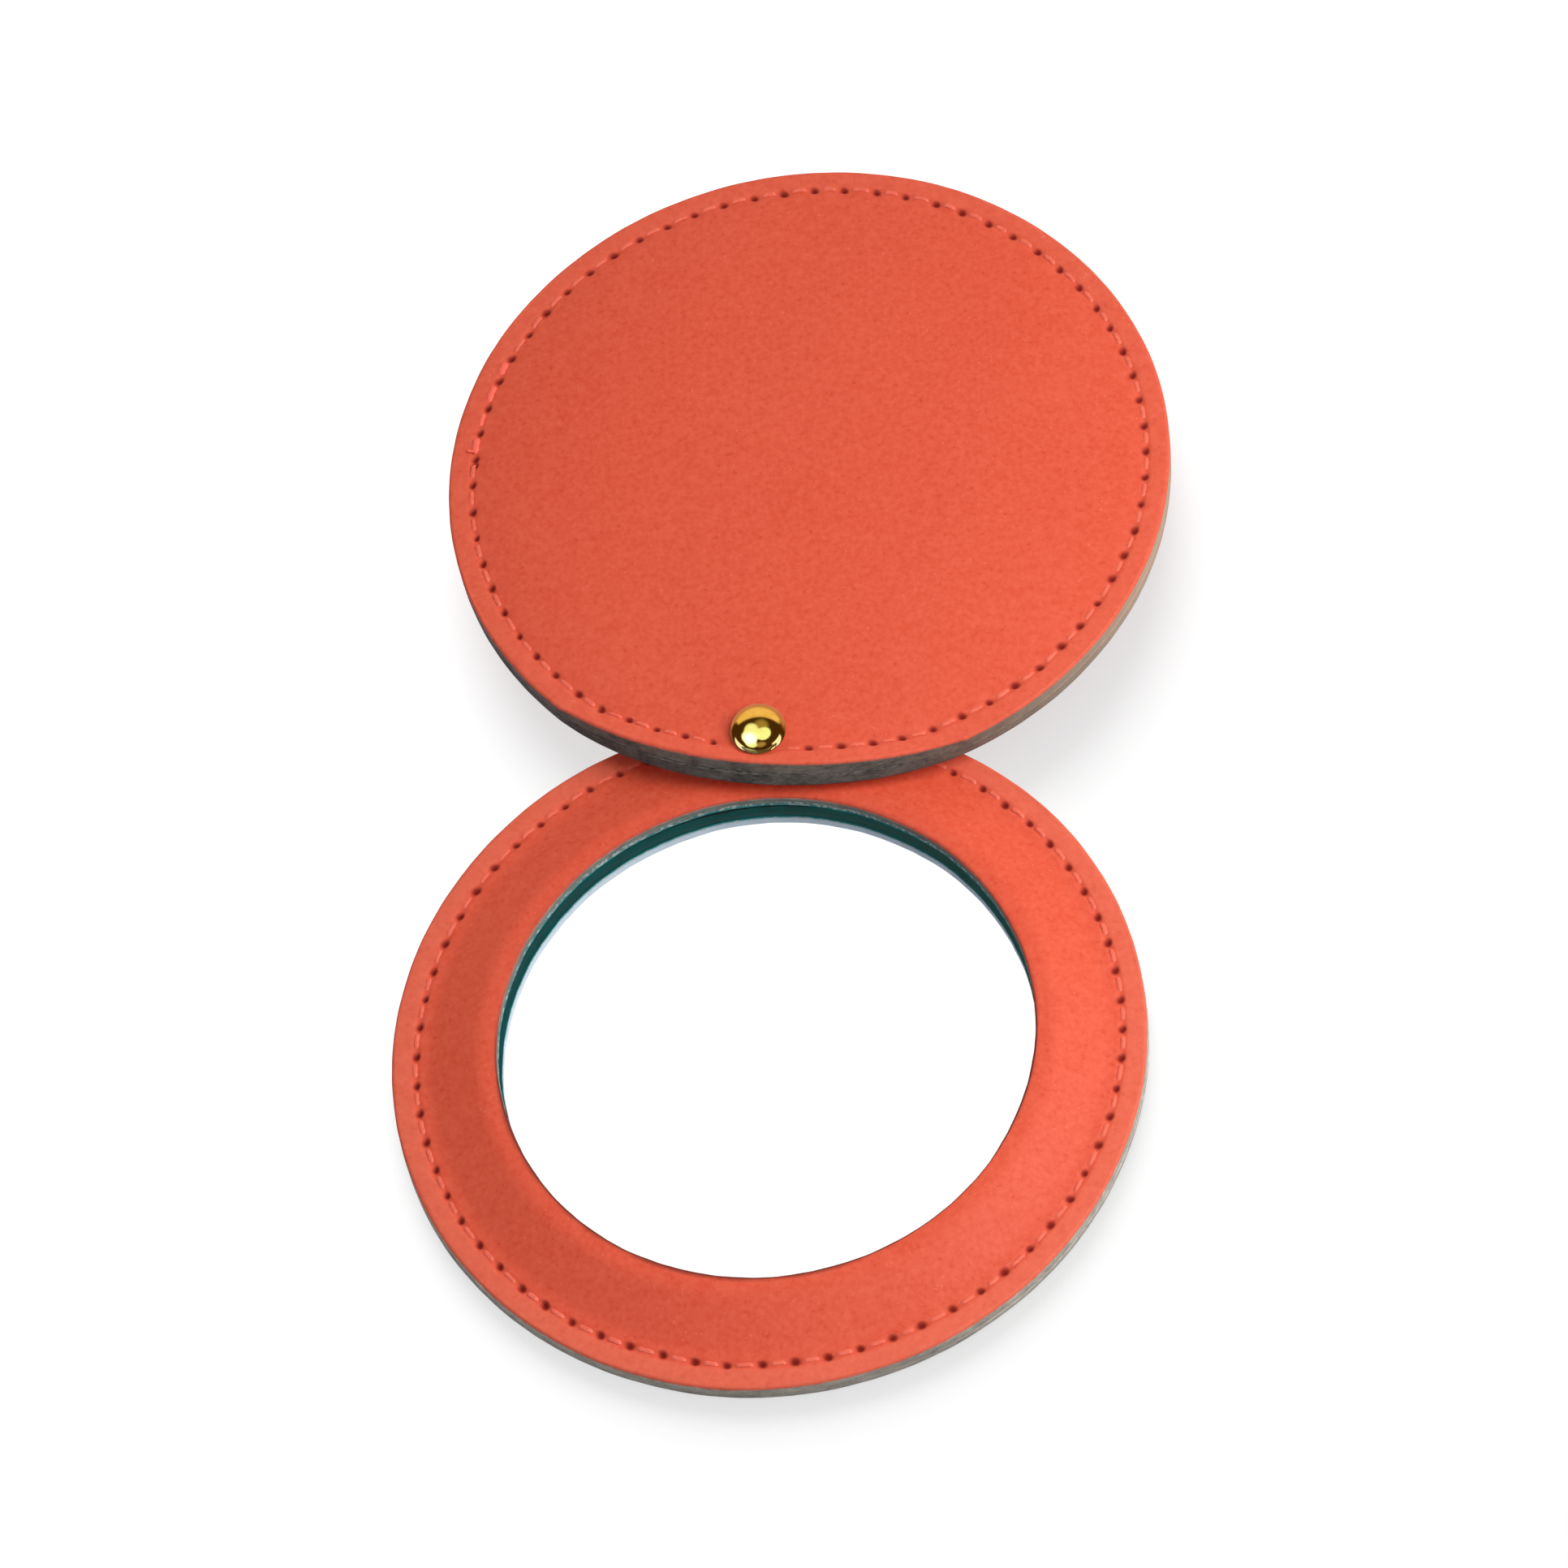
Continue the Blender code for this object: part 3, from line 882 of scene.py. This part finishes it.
def window_tones(tree, vector, colour):
    """The colours of the window's wall, its lip and the turned-in leather that lies on the glass: painted
    shade on all three, a painted reflection of the wall in the mirror, and pale fibres at the wall's foot.
    """
    fluff = ranged(tree, noise(tree, vector, 0.55 * MM, 3, 0.7), 0.49, 0.60, 0.0, 0.9)
    inner = attribute(tree, "inner")
    # The window's wall: its cut edge's own grey-green, painted darker as painted shade in the recess
    colour = mixed(tree, product(tree, inner, WALL_SHARE), colour, WALL_GREEN_AND_SHADE)
    # Painted shade on the window's rounded lip, strongest on the side away from the rivet
    colour = mixed(tree, product(tree, attribute(tree, "lip"), LIP_SHADE_SHARE), colour, LIP_SHADE_RED)
    # Painted reflection: where the wall is seen through the glass, as its image in the mirror, it is painted
    # pale blue
    through = add(tree, "ShaderNodeLightPath").outputs["Is Transmission Ray"]
    colour = mixed(tree, product(tree, inner, through), colour, MIRRORED_WALL_PAINTED_BLUE)
    # Painted shade: the turned-in leather under the glass's rim is painted dark teal, shade tinted like
    # light through the glass's edge
    colour = mixed(tree, attribute(tree, "lap"), colour, LAP_SHADE_TEAL)
    return mixed(tree, product(tree, attribute(tree, "foot"), fluff), colour, FOOT_PALE)


def thread_material(name, light, dark):
    material, tree, shader = new_material(name)
    vector = local_coords(tree)
    fibre = noise(tree, vector, 0.09 * MM, 3, 0.6)
    along = noise(tree, vector, 1.1 * MM, 2, 0.5)
    tone = weighed(tree, (fibre, 0.55), (along, 0.45))
    colour = mixed(tree, ranged(tree, tone, 0.36, 0.64), dark, light)
    colour = mixed(tree, attribute(tree, "melt"), colour, MELTED_PINK)
    values = {"Roughness": 0.5, "Specular IOR Level": 0.4}
    finish(tree, shader, colour, fibre, 0.5, 0.02 * MM, values)
    return material


def gold_material(name, low_rough, high_rough):
    material, tree, shader = new_material(name)
    vector = local_coords(tree)
    cloud = noise(tree, vector, 1.2 * MM, 3, 0.5)
    haze = noise(tree, vector, 0.12 * MM, 2, 0.5)
    colour = mixed(tree, ranged(tree, cloud, 0.35, 0.65), GOLD_DARK, GOLD_LIGHT)
    values = {"Metallic": 1.0, "Roughness": ranged(tree, haze, 0.3, 0.7, low_rough, high_rough)}
    finish(tree, shader, colour, cloud, 0.12, 0.01 * MM, values)
    return material


def glass_material():
    material, tree, shader = new_material("clear_glass")
    smear = noise(tree, local_coords(tree), 9 * MM, 3, 0.6)
    rough = ranged(tree, smear, 0.35, 0.75, 0.0, 0.004)
    values = {"Base Color": WHITE, "Transmission Weight": 1.0, "IOR": 1.52, "Roughness": rough}
    give(tree, shader, values)
    return material


def silver_material():
    material, tree, shader = new_material("mirror_silver")
    cloud = noise(tree, local_coords(tree), 12 * MM, 2, 0.5)
    colour = mixed(tree, cloud, (0.992, 1, 0.998, 1), WHITE)
    give(tree, shader, {"Base Color": colour, "Metallic": 1.0, "Roughness": 0.0})
    return material


def board_material():
    material, tree, shader = new_material("pressed_board")
    pulp = noise(tree, local_coords(tree), 0.8 * MM, 5, 0.7)
    fibre = noise(tree, local_coords(tree, (1, 3, 1)), 0.3 * MM, 3, 0.6)
    tone = weighed(tree, (pulp, 0.6), (fibre, 0.4))
    colour = mixed(tree, ranged(tree, tone, 0.35, 0.65), srgb(150, 142, 128), srgb(182, 174, 160))
    finish(tree, shader, colour, tone, 0.6, 0.03 * MM, {"Roughness": 0.9})
    return material


# How strongly each tone shows where it lies
PIT_SHARE = 0.4
FLECK_SHARE = 0.34
GLUE_SHARE = 0.14
WALL_SHARE = 0.72
LIP_SHADE_SHARE = 0.9
DRYNESS = 0.32
RAGGEDNESS = 0.9
RAW_RELIEF = 5.0
# Painted light: between these places along x the cut edge is painted paler and warmer, towards the key light
PAINTED_LIGHT_START = 17 * MM
PAINTED_LIGHT_END = 43 * MM

WHITE = (1, 1, 1, 1)
GOLD_DARK = (0.83, 0.52, 0.13, 1)
GOLD_LIGHT = (0.92, 0.62, 0.19, 1)
CORAL_LIGHT = srgb(227, 94, 67)
CORAL_DARK = srgb(218, 79, 52)
PIT_RED = srgb(188, 58, 36)
FLECK_PINK = srgb(255, 152, 122)
RIM_SHEEN_PINK = srgb(255, 165, 136)
HOLE_SHADE_RED = srgb(128, 22, 12)
RAW_LIGHT = srgb(134, 124, 113)
RAW_DARK = srgb(68, 64, 59)
# Painted shade: the lining's cut edge, the lower half of the cover's wall, is a darker copy of the cover's
# cut edge
LINING_RAW_SHADED_LIGHT = srgb(118, 110, 102)
LINING_RAW_SHADED_DARK = srgb(56, 53, 50)
# The tan of the painted light on the cut edge towards the key light
RAW_PAINTED_LIGHT_TAN = srgb(206, 176, 152)
# Painted light: the mirror leaf's cut edges, low by the white floor, are paler copies of the same cut edge,
# the back's a little paler still
LEAF_RAW_LIT_LIGHT = srgb(214, 207, 194)
LEAF_RAW_LIT_DARK = srgb(138, 132, 122)
BACK_RAW_LIT_LIGHT = srgb(214, 206, 196)
BACK_RAW_LIT_DARK = srgb(150, 142, 134)
GLUE = srgb(176, 172, 164)
LIP_SHADE_RED = srgb(96, 34, 26)
LAP_SHADE_TEAL = srgb(0, 138, 142)
WALL_GREEN_AND_SHADE = srgb(92, 104, 98)
FOOT_PALE = srgb(206, 218, 212)
MIRRORED_WALL_PAINTED_BLUE = srgb(222, 240, 255)
MELTED_PINK = srgb(255, 106, 86)

ring_material = leather("ring_leather", LEAF_RAW_LIT_LIGHT, LEAF_RAW_LIT_DARK, 0.12, window=True)
cover_material = leather("cover_leather", RAW_LIGHT, RAW_DARK, 0.05, painted_light_share=0.68)
back_material = leather("back_leather", BACK_RAW_LIT_LIGHT, BACK_RAW_LIT_DARK, 0.08)
lining_material = leather("lining_leather", LINING_RAW_SHADED_LIGHT, LINING_RAW_SHADED_DARK, 0.08, painted_light_share=0.68)
thread_look = thread_material("coral_thread", srgb(244, 112, 86), srgb(224, 92, 68))

# Mirror leaf

TALL = 3 * MM

front_ring = bored(
    front_ring_mesh(), [cylinder("ring_bore", SET_BORE, BACK_TOP - TALL, RING_CROWN + TALL)]
)
edge_masks(front_ring, mirror_seam, RIM_TOP, BACK_TOP, 1, (), window=True)
add_piece(
    "front_ring_leather", front_ring, ring_material, "mirror_leaf", ["mirror_front_ring"]
)

back = leather_disc("back_disc", mirror_seam, BACK_KNIFE, level(BACK_TOP), back_bottom, 35 * MM, -1)
back = bored(
    back,
    [
        cylinder("back_bore", SET_BORE, -TALL, BACK_TOP + TALL),
        cylinder("back_seat", BASE_RADIUS + 0.1 * MM, -TALL, BASE_TOP),
    ],
)
edge_masks(back, mirror_seam, 0.0, BACK_TOP, -1, base_hidden)
add_piece("back_disc_leather", back, back_material, "mirror_leaf", ["mirror_back_leather"])


def round_angles(sides):
    return 2 * math.pi * np.arange(sides) / sides


def plate(name, radius, bottom, top, arris):
    skin = Skin(MIRROR_CENTRE, round_angles(192))
    rings = [skin.spot(top), skin.ring(radius - arris, top), skin.ring(radius, top - arris)]
    rings += [skin.ring(radius, bottom + arris), skin.ring(radius - arris, bottom), skin.spot(bottom)]
    skin.band(rings)
    return skin.mesh(name)


SILVER_THICK = 0.05 * MM
SILVER_TOP = BACK_TOP + SILVER_THICK
SLIP = 0.02 * MM
glass = plate("glass_plate", GLASS_RADIUS, SILVER_TOP + SLIP, GLASS_TOP - SLIP, 0.2 * MM)
add_piece("glass_plate", glass, glass_material(), "mirror_leaf", ["mirror_glass"], 20)
silver = plate("silver_coat", GLASS_RADIUS - 0.25 * MM, BACK_TOP + 0.005 * MM, SILVER_TOP, 0.01 * MM)
add_piece("silver_coat", silver, silver_material(), "mirror_leaf", ["mirror_glass"], 20)

# Cover leaf

cover = leather_disc("cover_disc", cover_seam, COVER_KNIFE, cover_top, cover_underside, 29.5 * MM, 1)
cover = bored(cover, [cylinder("cover_bore", SWIVEL_BORE, COVER_SEAM - TALL, CAP_APEX + TALL)])
edge_masks(cover, cover_seam, COVER_RIM_TOP, COVER_SEAM, 1, cap_pressed)
reshape(cover, curled)
add_piece(
    "cover_face_leather", cover, cover_material, "cover_leaf", ["cover_front_leather"]
)

lining = leather_disc(
    "lining_disc", cover_seam, LINING_KNIFE, level(COVER_SEAM), lining_bottom, 35 * MM, -1
)
lining = bored(lining, [cylinder("lining_bore", SWIVEL_BORE, COVER_BOTTOM - TALL, COVER_SEAM + TALL)])
edge_masks(lining, cover_seam, COVER_BOTTOM, COVER_SEAM, -1, ())
reshape(lining, curled)
add_piece(
    "cover_back_disc", lining, lining_material, "cover_leaf", ["cover_back_leather"]
)


def dress(node, material):
    """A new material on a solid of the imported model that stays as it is."""
    materials = frame["nodes"][node].data.materials
    materials.clear()
    materials.append(material)


dress("cover_stiffener", board_material())

# Stitching

# Width, thickness and outward offset of the melted stitches
melted = {28: (0.86, 0.34, 0.12), 29: (0.86, 0.34, 0.12), 30: (0.6, 0.26, 0.1), 31: (0.92, 0.38, 0.08)}
melted = {index: tuple(size * MM for size in sizes) for index, sizes in melted.items()}
# Name, slot, seam, face's height and way up, hidden holes, dive and melted stitches
thread_jobs = (
    ("mirror_leaf_needle_thread", "ring_leather", mirror_seam, RIM_TOP, 1, (), NEEDLE_DIVE, {}),
    ("mirror_leaf_bobbin_thread", "back_leather", mirror_seam, 0.0, -1, base_hidden, 0.2 * MM, {}),
    ("cover_needle_thread", "cover_leather", cover_seam, COVER_RIM_TOP, 1, cap_hidden, NEEDLE_DIVE, melted),
    ("cover_bobbin_thread", "lining_leather", cover_seam, COVER_BOTTOM, -1, (), 0.25 * MM, {}),
)
for name, slot, seam, face, way, skip, dive, heavy in thread_jobs:
    lift = NEEDLE_LIFT if way > 0 else BOBBIN_LIFT
    points, faces, melt = thread_mesh(seam, face, way, lift, skip, dive, heavy)
    strand = closed_mesh(name, points, faces)
    paint(strand, "melt", np.array(melt))
    body = "cover_leaf" if seam is cover_seam else "mirror_leaf"
    if body == "cover_leaf":
        reshape(strand, curled)
    add_piece(name, strand, thread_look, body, [], 60)

# Rivet


def arc(radius, height, level, start, end, steps):
    """Points on a quarter of an oval that is this wide and high, as radius and height."""
    return [(radius * math.cos(turn), level + height * math.sin(turn)) for turn in spread(start, end, steps)]


def cap_profile():
    """The outline of the hollow cap, from its bore under the floor, over the dome and back inside."""
    spring = CAP_UNDERSIDE + CAP_ROLL
    floor = CAP_UNDERSIDE + CAP_WALL
    quarter = math.pi / 2
    outer = [(SET_BORE, CAP_UNDERSIDE), (CAP_RADIUS - 0.9 * MM, CAP_UNDERSIDE)]
    roll = arc(CAP_ROLL, CAP_ROLL, spring, -quarter, 0, 8)
    outer += [(CAP_RADIUS - CAP_ROLL + reach, height) for reach, height in roll]
    outer += arc(CAP_RADIUS, CAP_APEX - spring, spring, 0, quarter, 32)[1:-1]
    inner = arc(CAP_RADIUS - CAP_WALL, CAP_APEX - CAP_WALL - floor, floor, quarter, 0, 12)[1:]
    inner.append((SET_BORE, floor))
    return outer, inner


cap_skin = Skin(PIVOT, round_angles(96))
outer, inner = cap_profile()
outer_rings = [cap_skin.ring(radius, height) for radius, height in outer]
outer_rings.append(cap_skin.spot(CAP_APEX))
inner_rings = [cap_skin.spot(CAP_APEX - CAP_WALL)]
inner_rings += [cap_skin.ring(radius, height) for radius, height in inner]
cap_skin.band(outer_rings)
cap_skin.band(inner_rings)
cap_skin.join(inner_rings[-1], outer_rings[0])
cap = cap_skin.mesh("domed_cap")
cap_gold = gold_material("polished_gold_plate", 0.05, 0.1)
add_piece("domed_rivet_cap", cap, cap_gold, "mirror_leaf", ["rivet_cap"], 50)
dress("rivet_post", gold_material("brushed_gold_plate", 0.18, 0.3))

# Floor, world, lights and camera


FLOOR_HALF = 2.0
FLOOR_DROP = 0.1 * MM
FLOOR_PLAIN = (0.8, 0.8, 0.8, 1)
FLOOR_SHADED = (0.42, 0.41, 0.41, 1)
FLOOR_GLOW = (0.988, 1, 1, 1)
FLOOR_GLOW_STRENGTH = 0.655


def make_floor():
    """The floor. Its glow is shown, but lights nothing, and its shaded part keeps the shadow."""
    mesh = bpy.data.meshes.new("floor")
    signs = ((-1, -1), (1, -1), (1, 1), (-1, 1))
    corners = [(x * FLOOR_HALF, y * FLOOR_HALF, -FLOOR_DROP) for x, y in signs]
    mesh.from_pydata(corners, [], [(0, 1, 2, 3)])
    material = bpy.data.materials.new("pale_floor")
    material.use_nodes = True
    tree = material.node_tree
    tree.nodes.remove(tree.nodes["Principled BSDF"])
    path = add(tree, "ShaderNodeLightPath")
    seen = maths(tree, "MAXIMUM", path.outputs["Is Camera Ray"], path.outputs["Is Glossy Ray"])
    seen = maths(tree, "MAXIMUM", seen, path.outputs["Is Transmission Ray"])
    plain = add(tree, "ShaderNodeBsdfDiffuse", {"Color": FLOOR_PLAIN})
    shown = add(tree, "ShaderNodeBsdfDiffuse", {"Color": FLOOR_SHADED})
    glow = add(tree, "ShaderNodeEmission", {"Color": FLOOR_GLOW, "Strength": FLOOR_GLOW_STRENGTH})
    both = add(tree, "ShaderNodeAddShader", {0: shown.outputs[0], 1: glow.outputs[0]})
    choice = add(tree, "ShaderNodeMixShader", {0: seen, 1: plain.outputs[0], 2: both.outputs[0]})
    tree.links.new(choice.outputs[0], tree.nodes["Material Output"].inputs["Surface"])
    mesh.materials.append(material)
    floor = placed("floor", mesh)
    floor.visible_glossy = False
    return floor


# Soft lamps that the cap shows: the way to each, the cosines where it starts and is full, its weight
LAMPS = (
    ((-0.36, 0.06, 0.93), 0.90, 0.98, 0.8),
    ((-0.52, -0.40, 0.75), 0.84, 0.95, 1.0),
    ((-0.45, -0.76, 0.46), 0.88, 0.99, 0.8),
    ((0.26, -0.23, 0.94), 0.88, 0.97, 1.0),
)
FRONT_FILL = 0.22
THROUGH_GLASS = (1.2, 1.2, 1.2, 1)
# Rays that reach the mirror straight from the camera leave the glass at this depth at most
FIRST_LOOK_DEPTH = 6.5


def make_world():
    """White to the camera. What lights the leathers and what metal and glass show differ."""
    world = bpy.data.worlds.new("studio")
    bpy.context.scene.world = world
    world.use_nodes = True
    tree = world.node_tree
    path = add(tree, "ShaderNodeLightPath")
    coords = add(tree, "ShaderNodeTexCoord")
    split = add(tree, "ShaderNodeSeparateXYZ", {0: coords.outputs["Generated"]})
    x, y, z = split.outputs["X"], split.outputs["Y"], split.outputs["Z"]

    def above(value, low, high):
        """0 below low, 1 above high. With low over high it runs the other way."""
        values = {"Value": value, "From Min": low, "From Max": high}
        return add(tree, "ShaderNodeMapRange", values, interpolation_type="SMOOTHSTEP").outputs[0]

    def region(*limits):
        """1 where the direction is past all of these limits."""
        return product(tree, *[above(*limit) for limit in limits])

    def towards(place, low, high):
        """A round soft spot in the sky, by the cosine of the angle from its middle."""
        return above(weighed(tree, *zip((x, y, z), Vector(place).normalized())), low, high)

    # What polished metal sees: a lit wall behind, two soft lamps overhead, and low down a lit strip
    # at either side
    curve = maths(tree, "ADD", y, product(tree, x, x, 0.3))
    wall = region((curve, 0.61, 0.72), (x, -0.84, -0.74), (x, 0.95, 0.72))
    lamps = weighed(tree, *[(towards(place, low, high), share) for place, low, high, share in LAMPS])
    left_strip = region((x, -0.5, -0.66), (y, 0.08, -0.04), (z, -0.06, -0.14), (y, -0.66, -0.52))
    right_strip = region((x, 0.5, 0.62), (y, -0.02, -0.14), (z, 0.14, 0.04), (y, -0.74, -0.64))
    edge = region((z, 0.06, -0.08), (y, 0.2, 0.5), (x, -0.9, -0.6))
    dark = region((y, -0.7, -0.85), (z, 0.1, -0.1))
    between = towards((0.12, 0.24, 0.96), 0.91, 0.995)
    glow = mixed(tree, between, (0.07, 0.035, 0.008, 1), (0.42, 0.38, 0.15, 1))
    glow = mixed(tree, edge, glow, (0.42, 0.18, 0.1, 1))
    wall_tone = mixed(tree, above(z, -0.1, 0.3), (0.62, 0.32, 0.22, 1), (1.0, 0.78, 0.42, 1))
    glow = mixed(tree, wall, glow, wall_tone)
    glow = mixed(tree, dark, glow, (0.02, 0.004, 0.0, 1))
    glow = mixed(tree, towards((0.12, -0.88, 0.46), 0.93, 0.99), glow, (0.42, 0.34, 0.18, 1))
    core = towards((-0.50, -0.44, 0.75), 0.86, 0.99)
    lamp_tone = mixed(tree, core, (1.12, 1.6, 1.5, 1), (1.3, 1.9, 5.5, 1))
    glow = mixed(tree, above(lamps, 0.1, 0.8), glow, lamp_tone)
    glow = mixed(tree, left_strip, glow, (1.2, 1.5, 2.2, 1))
    glow = mixed(tree, right_strip, glow, (1.2, 1.45, 2.1, 1))
    # What lights the leathers: brighter behind and to the right, with a low fill from the front
    tilt = weighed(tree, (y, 0.7), (x, 0.3))
    soft = product(tree, maths(tree, "ADD", tilt, 1.0), 0.4)
    fill = product(tree, region((y, -0.2, -0.7), (z, 0.55, 0.15)), FRONT_FILL)
    soft = maths(tree, "ADD", soft, fill)
    soft = add(tree, "ShaderNodeCombineXYZ", {0: soft, 1: soft, 2: soft}).outputs[0]
    colour = mixed(tree, path.outputs["Is Glossy Ray"], soft, glow)
    # The mirror shows white, but not where it is seen in turn in the cap
    first_look = maths(tree, "LESS_THAN", path.outputs["Ray Depth"], FIRST_LOOK_DEPTH)
    from_leather = maths(tree, "GREATER_THAN", path.outputs["Diffuse Depth"], 0.5)
    shows_white = maths(tree, "MAXIMUM", first_look, from_leather)
    leaves_glass = path.outputs["Is Transmission Ray"]
    through_glass = product(tree, leaves_glass, above(y, -0.93, -0.8), shows_white)
    colour = mixed(tree, leaves_glass, colour, (0.05, 0.04, 0.03, 1))
    colour = mixed(tree, through_glass, colour, THROUGH_GLASS)
    colour = mixed(tree, path.outputs["Is Camera Ray"], colour, WHITE)
    tree.links.new(colour, tree.nodes["Background"].inputs["Color"])


def area_light(name, place, size, power, lit):
    """A soft round lamp aimed at the object. It lights only the objects in lit."""
    data = bpy.data.lights.new(name, "AREA")
    data.shape = "DISK"
    data.size = size
    data.energy = power
    item = placed(name, data)
    item.location = place
    item.rotation_mode = "QUATERNION"
    item.rotation_quaternion = (LIGHT_AIM - Vector(place)).to_track_quat("-Z", "Y")
    group = bpy.data.collections.new(name + "_lights")
    for target in lit:
        group.objects.link(target)
    item.light_linking.receiver_collection = group


# The camera was fitted to the outlines of both leaves in the photo
CAMERA_AZIMUTH = math.radians(10.243)
CAMERA_ELEVATION = math.radians(58.822)
CAMERA_ROLL = math.radians(-12.449)
CAMERA_DISTANCE = 0.634007
CAMERA_AIM = Vector((0.00204124, 0.03123597, RIM_TOP))
FOCAL_PIXELS = 7243.56
PHOTO_PIXELS = 1932
SENSOR = 36
LIGHT_AIM = Vector((0, 0.03, 0))


def make_camera():
    level_out = math.cos(CAMERA_ELEVATION)
    x, y = math.sin(CAMERA_AZIMUTH) * level_out, -math.cos(CAMERA_AZIMUTH) * level_out
    away = Vector((x, y, math.sin(CAMERA_ELEVATION)))
    right = (-away).cross(Vector((0, 0, 1))).normalized()
    up = right.cross(-away)
    turned_right = right * math.cos(CAMERA_ROLL) + up * math.sin(CAMERA_ROLL)
    turned_up = up * math.cos(CAMERA_ROLL) - right * math.sin(CAMERA_ROLL)
    data = bpy.data.cameras.new("photo_camera")
    data.sensor_width = SENSOR
    data.lens = SENSOR * FOCAL_PIXELS / PHOTO_PIXELS
    data.clip_start = 0.01
    data.clip_end = 10
    camera = placed("photo_camera", data)
    axes = Matrix((turned_right, turned_up, away)).transposed().to_4x4()
    camera.matrix_world = Matrix.Translation(CAMERA_AIM + away * CAMERA_DISTANCE) @ axes
    bpy.context.scene.camera = camera


pieces = [item for item in bpy.context.scene.objects if item.type == "MESH"]
for item in pieces:
    # The photo's mirror is plain white up to its edge and its cap shows no leather
    item.visible_glossy = item.name in ("glass_plate", "silver_coat")
    if item.name.startswith("cover_"):
        item.visible_transmission = False
make_world()
floor = make_floor()
# The cap's lamps are in the world, so the key light leaves it out
dull = [item for item in pieces if item.name != "domed_rivet_cap"]
area_light("key_light", (0.205, -0.01, 0.26), 0.26, 1.0, dull)
area_light("floor_light", (-0.05, 0.42, 0.30), 0.5, 3.4, [floor])
make_camera()
bpy.context.scene.view_settings.view_transform = "Standard"
